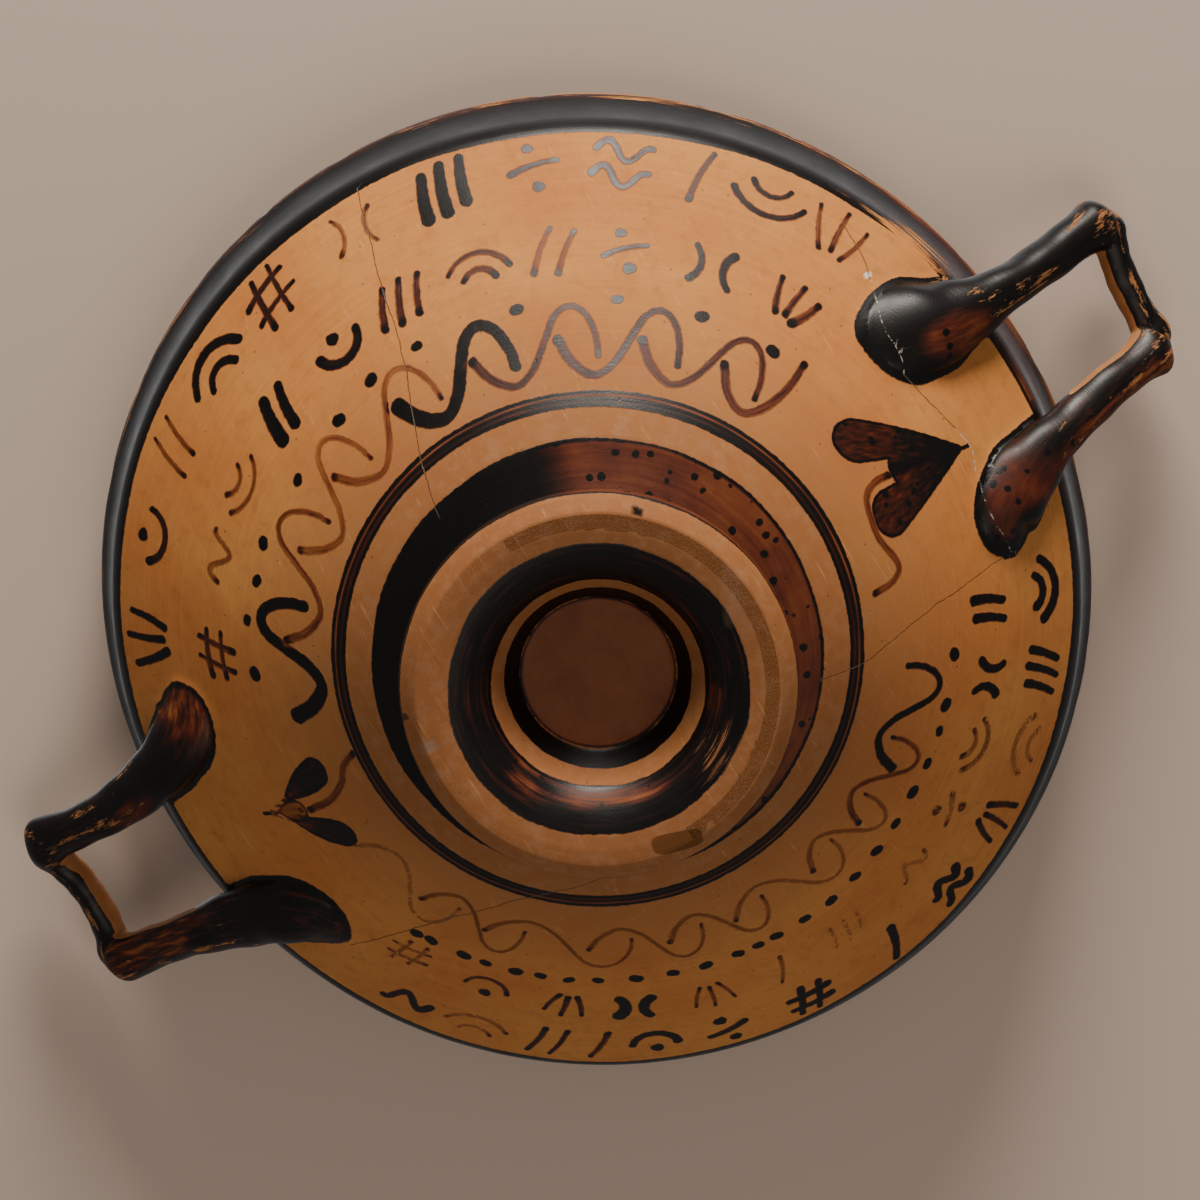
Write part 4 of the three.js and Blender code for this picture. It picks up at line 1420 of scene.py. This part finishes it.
def stained(tree, mm, base):
    """The painted colour under the stains, one a pit's painted shade, and how deep they lie."""
    depth = 0.0
    for place, turn, size, soft, shade, strength in STAINS:
        near = add(tree, "Mapping", {"Vector": mm, "Location": place, "Scale": size,
                                     "Rotation": (0.0, 0.0, turn)}, vector_type="TEXTURE")
        ragged = add(tree, "TexNoise", {"Vector": near, "Scale": 1.6, "Detail": 3.0})
        # Squared before it is measured, which gives a rounded square instead of an oval
        away = add(tree, "VectorMath", near, near, operation="MULTIPLY")
        away = add(tree, "VectorMath", away, out="Value", operation="LENGTH")
        away = add(tree, "Math", ragged, soft, away, operation="MULTIPLY_ADD")
        cover = add(tree, "MapRange", away, 1 + soft / 2, 1 - soft / 4, 0.0, strength)
        base = add(tree, "Mix", {0: cover, 6: base, 7: linear(shade)}, out=2, data_type="RGBA")
        depth = add(tree, "Math", cover, -0.1, depth, operation="MULTIPLY_ADD")
    return base, depth


def painted_fields(tree, held, ragged, wander):
    """How far each place lies inside a painted field and inside a stroke, and where paint lies."""
    # The edge of the paint strays by the width of a few hairs
    stray = add(tree, "Math", ragged, 0.5, operation="SUBTRACT")
    stray = add(tree, "Math", stray, 2 * wander, operation="MULTIPLY")
    slip_edge = add(tree, "Math", held["slip"], stray, operation="ADD")
    stroke_edge = add(tree, "Math", held["stroke"], stray, operation="ADD")
    on_slip = add(tree, "MapRange", slip_edge, -0.1, 0.12)
    on_stroke = add(tree, "MapRange", stroke_edge, -0.12, 0.12)
    # Faded strokes break up into the clay's texture
    lack = add(tree, "MapRange", held["stroke_tone"], 0.1, 0.6, 0.58, 0.22)
    gap = add(tree, "Math", held["dry"], lack, operation="SUBTRACT")
    kept = add(tree, "MapRange", gap, -0.07, 0.05)
    on_stroke = add(tree, "Math", on_stroke, kept, operation="MULTIPLY")
    # Paint rubbed or flaked off: scratches drawn out along the limbs and rings, and small flakes
    flake = add(tree, "VectorMath", held["grain"], (1.0, 1.0, 1.9), operation="MULTIPLY")
    flake = add(tree, "TexNoise", {"Vector": flake, "Scale": 0.5, "Detail": 7.0, "Roughness": 0.72})
    less = add(tree, "MapRange", held["wear"], 0.0, 1.0, 0.24, 0.6)
    left = add(tree, "Math", flake, less, operation="SUBTRACT")
    left = add(tree, "MapRange", left, -0.02, 0.03)
    on_slip = add(tree, "Math", on_slip, left, operation="MULTIPLY")
    edge = add(tree, "Math", slip_edge, stroke_edge, operation="MAXIMUM")
    return on_slip, on_stroke, edge


def film_density(tree, mm, held, ragged, cloud, on_stroke, edge):
    """How dense the film of slip is: its tone, the brush's streaks, faint clouds and round spots."""
    lines = add(tree, "TexNoise", {"Vector": held["grain"], "Scale": 1.0, "Detail": 3.0,
                                   "Roughness": 0.55})
    lines = add(tree, "MapRange", lines, 0.3, 0.7, -1.1, 0.7)
    area = add(tree, "Math", lines, held["streaky"], held["slip_tone"], operation="MULTIPLY_ADD")
    cloudy = add(tree, "MapRange", cloud, 0.3, 0.7, -0.06, 0.08)
    area = add(tree, "Math", area, cloudy, operation="ADD")
    spot = add(tree, "TexVoronoi", {"Vector": mm, "Scale": 0.27})
    some = add(tree, "Math", ragged, 0.22, spot, operation="MULTIPLY_ADD")
    drop = add(tree, "MapRange", some, 0.31, 0.36, 0.5, 0.0)
    drop = add(tree, "Math", drop, held["spotted"], operation="MULTIPLY")
    area = add(tree, "Math", area, drop, operation="ADD")
    # Slip pooled along the edge of every painted field, so that it fired darkest there
    pooled = add(tree, "MapRange", held["slip"], 0.4, 0.9, 0.36, 0.0)
    area = add(tree, "Math", area, pooled, operation="ADD")
    hairs = add(tree, "MapRange", held["streak"], 0.25, 0.75, -0.2, 0.16)
    drawn = add(tree, "Math", held["stroke_tone"], hairs, operation="ADD")
    drawn = add(tree, "Math", drawn, held["pool"], operation="ADD")
    density = add(tree, "Mix", {0: on_stroke, 2: area, 3: drawn}, data_type="FLOAT")
    # Every edge is a thin brown line, where the film is only a hair thick
    thin = add(tree, "MapRange", edge, 0.05, 0.34, 0.45, 1.0)
    return add(tree, "Math", density, thin, operation="MULTIPLY")


def film_colour(tree, density, settings):
    """The slip's colour from its thinnest film to its thickest."""
    film = add(tree, "ValToRGB", density)
    stops = film.node.color_ramp.elements
    shades = ((0.0, linear(SHEER_FILM)), (0.3, settings.slip_thin), (0.52, settings.slip_red),
              (0.68, linear(BROWN_FILM)), (0.84, linear(DARK_FILM)), (1.0, settings.slip))
    for position, _ in shades[2:]:
        stops.new(position)
    for stop, (position, shade) in zip(stops, shades):
        stop.position = position
        stop.color = shade
    return film


def cracked(tree, mm, base, held, covered, settings):
    """Cracks: a hairline that wanders off its route, brown, or filled with plaster in places."""
    off, on_route, plaster = add(tree, "SeparateXYZ", held["crack"], out=slice(3))
    jitter = add(tree, "TexNoise", {"Vector": mm, "Scale": 0.22, "Detail": 4.0})
    jitter = add(tree, "MapRange", jitter, 0.0, 1.0, -0.7, 0.7)
    off = add(tree, "Math", off, jitter, operation="ADD")
    off = add(tree, "Math", off, operation="ABSOLUTE")
    wide = add(tree, "Math", plaster, 0.1, 0.12, operation="MULTIPLY_ADD")
    line = add(tree, "Math", off, wide, operation="DIVIDE")
    line = add(tree, "MapRange", line, 0.5, 1.3, 0.8, 0.0)
    line = add(tree, "Math", line, on_route, operation="MULTIPLY")
    broken = add(tree, "Math", plaster, -0.34, held["dry"], operation="MULTIPLY_ADD")
    broken = add(tree, "MapRange", broken, 0.33, 0.4)
    line = add(tree, "Math", line, broken, operation="MULTIPLY")
    filled = add(tree, "MapRange", plaster, 0.05, 0.2)
    hollow = add(tree, "Mix", {0: covered, 6: linear(CRACK_IN_CLAY), 7: linear(CRACK_IN_SLIP)}, out=2,
                 data_type="RGBA")
    fill = add(tree, "Mix", {0: filled, 6: hollow, 7: settings.plaster}, out=2, data_type="RGBA")
    return add(tree, "Mix", {0: line, 6: base, 7: fill}, out=2, data_type="RGBA"), line


def gloss(tree, cloud, grain, density, covered, stain_depth):
    """The slip is smoother than the clay, and both are dulled in patches by handling."""
    slip = add(tree, "MapRange", cloud, 0.3, 0.7, SLIP_ROUGHNESS[0], SLIP_ROUGHNESS[1])
    clay = add(tree, "MapRange", grain, 0.0, 1.0, CLAY_ROUGHNESS[0], CLAY_ROUGHNESS[1])
    # A thin film sintered less, so it stayed duller than the black
    film = add(tree, "MapRange", density, 0.3, 0.8, 0.24, 0.0)
    slip = add(tree, "Math", slip, film, operation="ADD")
    rough = add(tree, "Mix", {0: covered, 2: clay, 3: slip}, data_type="FLOAT")
    return add(tree, "Math", stain_depth, -2.5, rough, operation="MULTIPLY_ADD")


def painted_clay(settings):
    """Orange clay with a black fired slip. The slip is a clay film that sintered to a soft gloss:
    black where it is thick, brown where the brush ran dry, red where air reached it in the kiln."""
    material = bpy.data.materials.new("Painted red-clay earthenware")
    material.use_nodes = True
    tree = material.node_tree
    tree.nodes.clear()
    place = add(tree, "TexCoord", out="Object")
    mm = add(tree, "VectorMath", {0: place, "Scale": 1 / MM}, operation="SCALE")
    clay, clay_height, grain = burnished_clay(tree, mm, settings)
    held = {name: add(tree, "Attribute", out="Fac", attribute_name=name) for name in NUMBERS}
    held.update((name, add(tree, "Attribute", out="Vector", attribute_name=name)) for name in ROUTES)
    held["stroke"], held["streak"], held["pool"] = brush_strokes(tree, mm)
    held["dry"] = add(tree, "TexNoise", {"Vector": mm, "Scale": 0.9, "Detail": 4.0, "Roughness": 0.7})
    ragged = add(tree, "TexNoise", {"Vector": mm, "Scale": 0.75, "Detail": 3.0})
    cloud = add(tree, "TexNoise", {"Vector": mm, "Scale": 0.11, "Detail": 5.0, "Roughness": 0.6})

    on_slip, on_stroke, edge = painted_fields(tree, held, ragged, settings.wander)
    density = film_density(tree, mm, held, ragged, cloud, on_stroke, edge)
    covered = add(tree, "Math", on_slip, on_stroke, operation="MAXIMUM")
    sheer = add(tree, "MapRange", density, 0.0, 0.6, 0.55, 1.0)
    cover = add(tree, "Math", covered, sheer, operation="MULTIPLY")
    film = film_colour(tree, density, settings)
    painted = add(tree, "Mix", {0: cover, 6: clay, 7: film}, out=2, data_type="RGBA")
    painted, stain_depth = stained(tree, mm, painted)
    painted, crack = cracked(tree, mm, painted, held, covered, settings)

    rough = gloss(tree, cloud, grain, density, covered, stain_depth)
    height = add(tree, "Math", covered, SLIP_THICKNESS, clay_height, operation="MULTIPLY_ADD")
    height = add(tree, "Math", crack, -CRACK_DEPTH, height, operation="MULTIPLY_ADD")
    height = add(tree, "Math", height, stain_depth, operation="ADD")
    bump = add(tree, "Bump", {"Height": height, "Distance": MM, "Strength": 0.8})
    shader = add(tree, "BsdfPrincipled", {"Base Color": painted, "Roughness": rough,
                                          "Specular IOR Level": 0.36, "Normal": bump})
    add(tree, "OutputMaterial", {"Surface": shader})
    return material


# ---------------------------------------------------------------- the stage

def one_sided(name, shade):
    """A plain matt sheet that is seen from its front only, so that it never hides the cup."""
    material = bpy.data.materials.new(name)
    material.use_nodes = True
    tree = material.node_tree
    tree.nodes.clear()
    back = add(tree, "NewGeometry", out="Backfacing")
    matt = add(tree, "BsdfDiffuse", {"Color": shade})
    clear = add(tree, "BsdfTransparent")
    mixed = add(tree, "MixShader", {0: back, 1: matt, 2: clear})
    add(tree, "OutputMaterial", {"Surface": mixed})
    return material


def sheet(name, half, height, facing, material):
    """A flat square sheet, facing up or down."""
    corners = [(x, y, height) for x, y in ((-half, -half), (half, -half), (half, half), (-half, half))]
    made = plain_object(name, corners, [(0, 1, 2, 3) if facing > 0 else (3, 2, 1, 0)])
    made.data.materials.append(material)
    made.visible_shadow = False
    made.visible_diffuse = False
    made.visible_glossy = False


def area_light(name, place, sizes, power, shade="#ffffff"):
    """A soft light, turned towards the middle of the cup."""
    data = bpy.data.lights.new(name, "AREA")
    data.shape = "ELLIPSE"
    data.size, data.size_y = sizes
    data.energy = power
    data.color = linear(shade)[:3]
    made = bpy.data.objects.new(name, data)
    made.location = place
    made.rotation_mode = "QUATERNION"
    made.rotation_quaternion = (CAD_MIDDLE - place).to_track_quat("-Z", "Y")
    bpy.context.scene.collection.objects.link(made)


class KYLIX_OT_cup(bpy.types.Operator):
    """Turn, join and paint the cup"""
    bl_idname = "kylix.cup"
    bl_label = "Cup"

    def execute(self, context):
        body = context.scene.kylix_body
        finish = painted_clay(context.scene.kylix_paint)
        limbs = all_limbs()
        cup, trees = joined(turned_body(body, finish), limbs)
        chip_lip(cup.data, body.seed)
        cup.data.materials.clear()
        cup.data.materials.append(finish)
        cup.data.shade_smooth()
        paint_cup(cup.data, limbs, trees, body.seed)
        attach(cup, "root")
        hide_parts("kylix")
        return {"FINISHED"}


class KYLIX_OT_stage(bpy.types.Operator):
    """Set the camera under the cup's foot, the soft lights and the plain sheets"""
    bl_idname = "kylix.stage"
    bl_label = "Stage"

    def execute(self, context):
        settings = context.scene.kylix_stage
        camera_data = bpy.data.cameras.new("camera")
        camera_data.lens = CAMERA_LENS
        camera_data.sensor_width = CAMERA_SENSOR
        camera = bpy.data.objects.new("camera", camera_data)
        camera.location = CAMERA_PLACE
        camera.rotation_euler = [math.radians(a) for a in CAMERA_TURN]
        context.scene.collection.objects.link(camera)
        context.scene.camera = camera
        context.view_layer.update()
        turn = camera.matrix_world.to_3x3()
        right, up, back = turn.col
        for name, light, power in (("key", KEY_LIGHT, settings.key_power),
                                   ("fill", FILL_LIGHT, settings.fill_power)):
            (towards, upwards, aside), distance, sizes, shade = light
            way = (towards * back + upwards * up + aside * right).normalized()
            area_light(name, CAD_MIDDLE + way * distance, sizes, power, shade)
        shift, rise, sizes = UPPER_LIGHT
        over = CAD_MIDDLE + Vector((shift * up.x, shift * up.y, rise))
        area_light("upper", over, sizes, settings.upper_power)
        sheet("floor", FLOOR_HALF, 0.0, 1, one_sided("Pale matt floor", settings.floor))
        sheet("backdrop", BACKDROP_HALF, CAD_HIGH.z + BACKDROP_GAP, -1,
              one_sided("Painted plaster wall", settings.backdrop))
        world = bpy.data.worlds.new("soft studio")
        world.use_nodes = True
        background = world.node_tree.nodes["Background"]
        background.inputs["Color"].default_value = linear(ROOM_LIGHT[0])
        background.inputs["Strength"].default_value = ROOM_LIGHT[1]
        context.scene.world = world
        return {"FINISHED"}


class KYLIX_PT_panel(bpy.types.Panel):
    """The cup's sizes, colours and steps"""
    bl_label = "Kylix"
    bl_idname = "KYLIX_PT_panel"
    bl_space_type = "VIEW_3D"
    bl_region_type = "UI"
    bl_category = "Kylix"

    def draw(self, context):
        layout = self.layout
        for group in (context.scene.kylix_body, context.scene.kylix_paint, context.scene.kylix_stage):
            box = layout.box()
            for name in type(group).__annotations__:
                box.prop(group, name)
        layout.operator(KYLIX_OT_cup.bl_idname)
        layout.operator(KYLIX_OT_stage.bl_idname)


CLASSES = (KylixBody, KylixPaint, KylixStage, KYLIX_OT_cup, KYLIX_OT_stage, KYLIX_PT_panel)


def register():
    for one in CLASSES:
        bpy.utils.register_class(one)
    bpy.types.Scene.kylix_body = bpy.props.PointerProperty(type=KylixBody)
    bpy.types.Scene.kylix_paint = bpy.props.PointerProperty(type=KylixPaint)
    bpy.types.Scene.kylix_stage = bpy.props.PointerProperty(type=KylixStage)


def unregister():
    for name in ("kylix_body", "kylix_paint", "kylix_stage"):
        delattr(bpy.types.Scene, name)
    for one in reversed(CLASSES):
        bpy.utils.unregister_class(one)


def main():
    register()
    bpy.ops.kylix.stage()
    bpy.ops.kylix.cup()


if __name__ == "__main__":
    main()
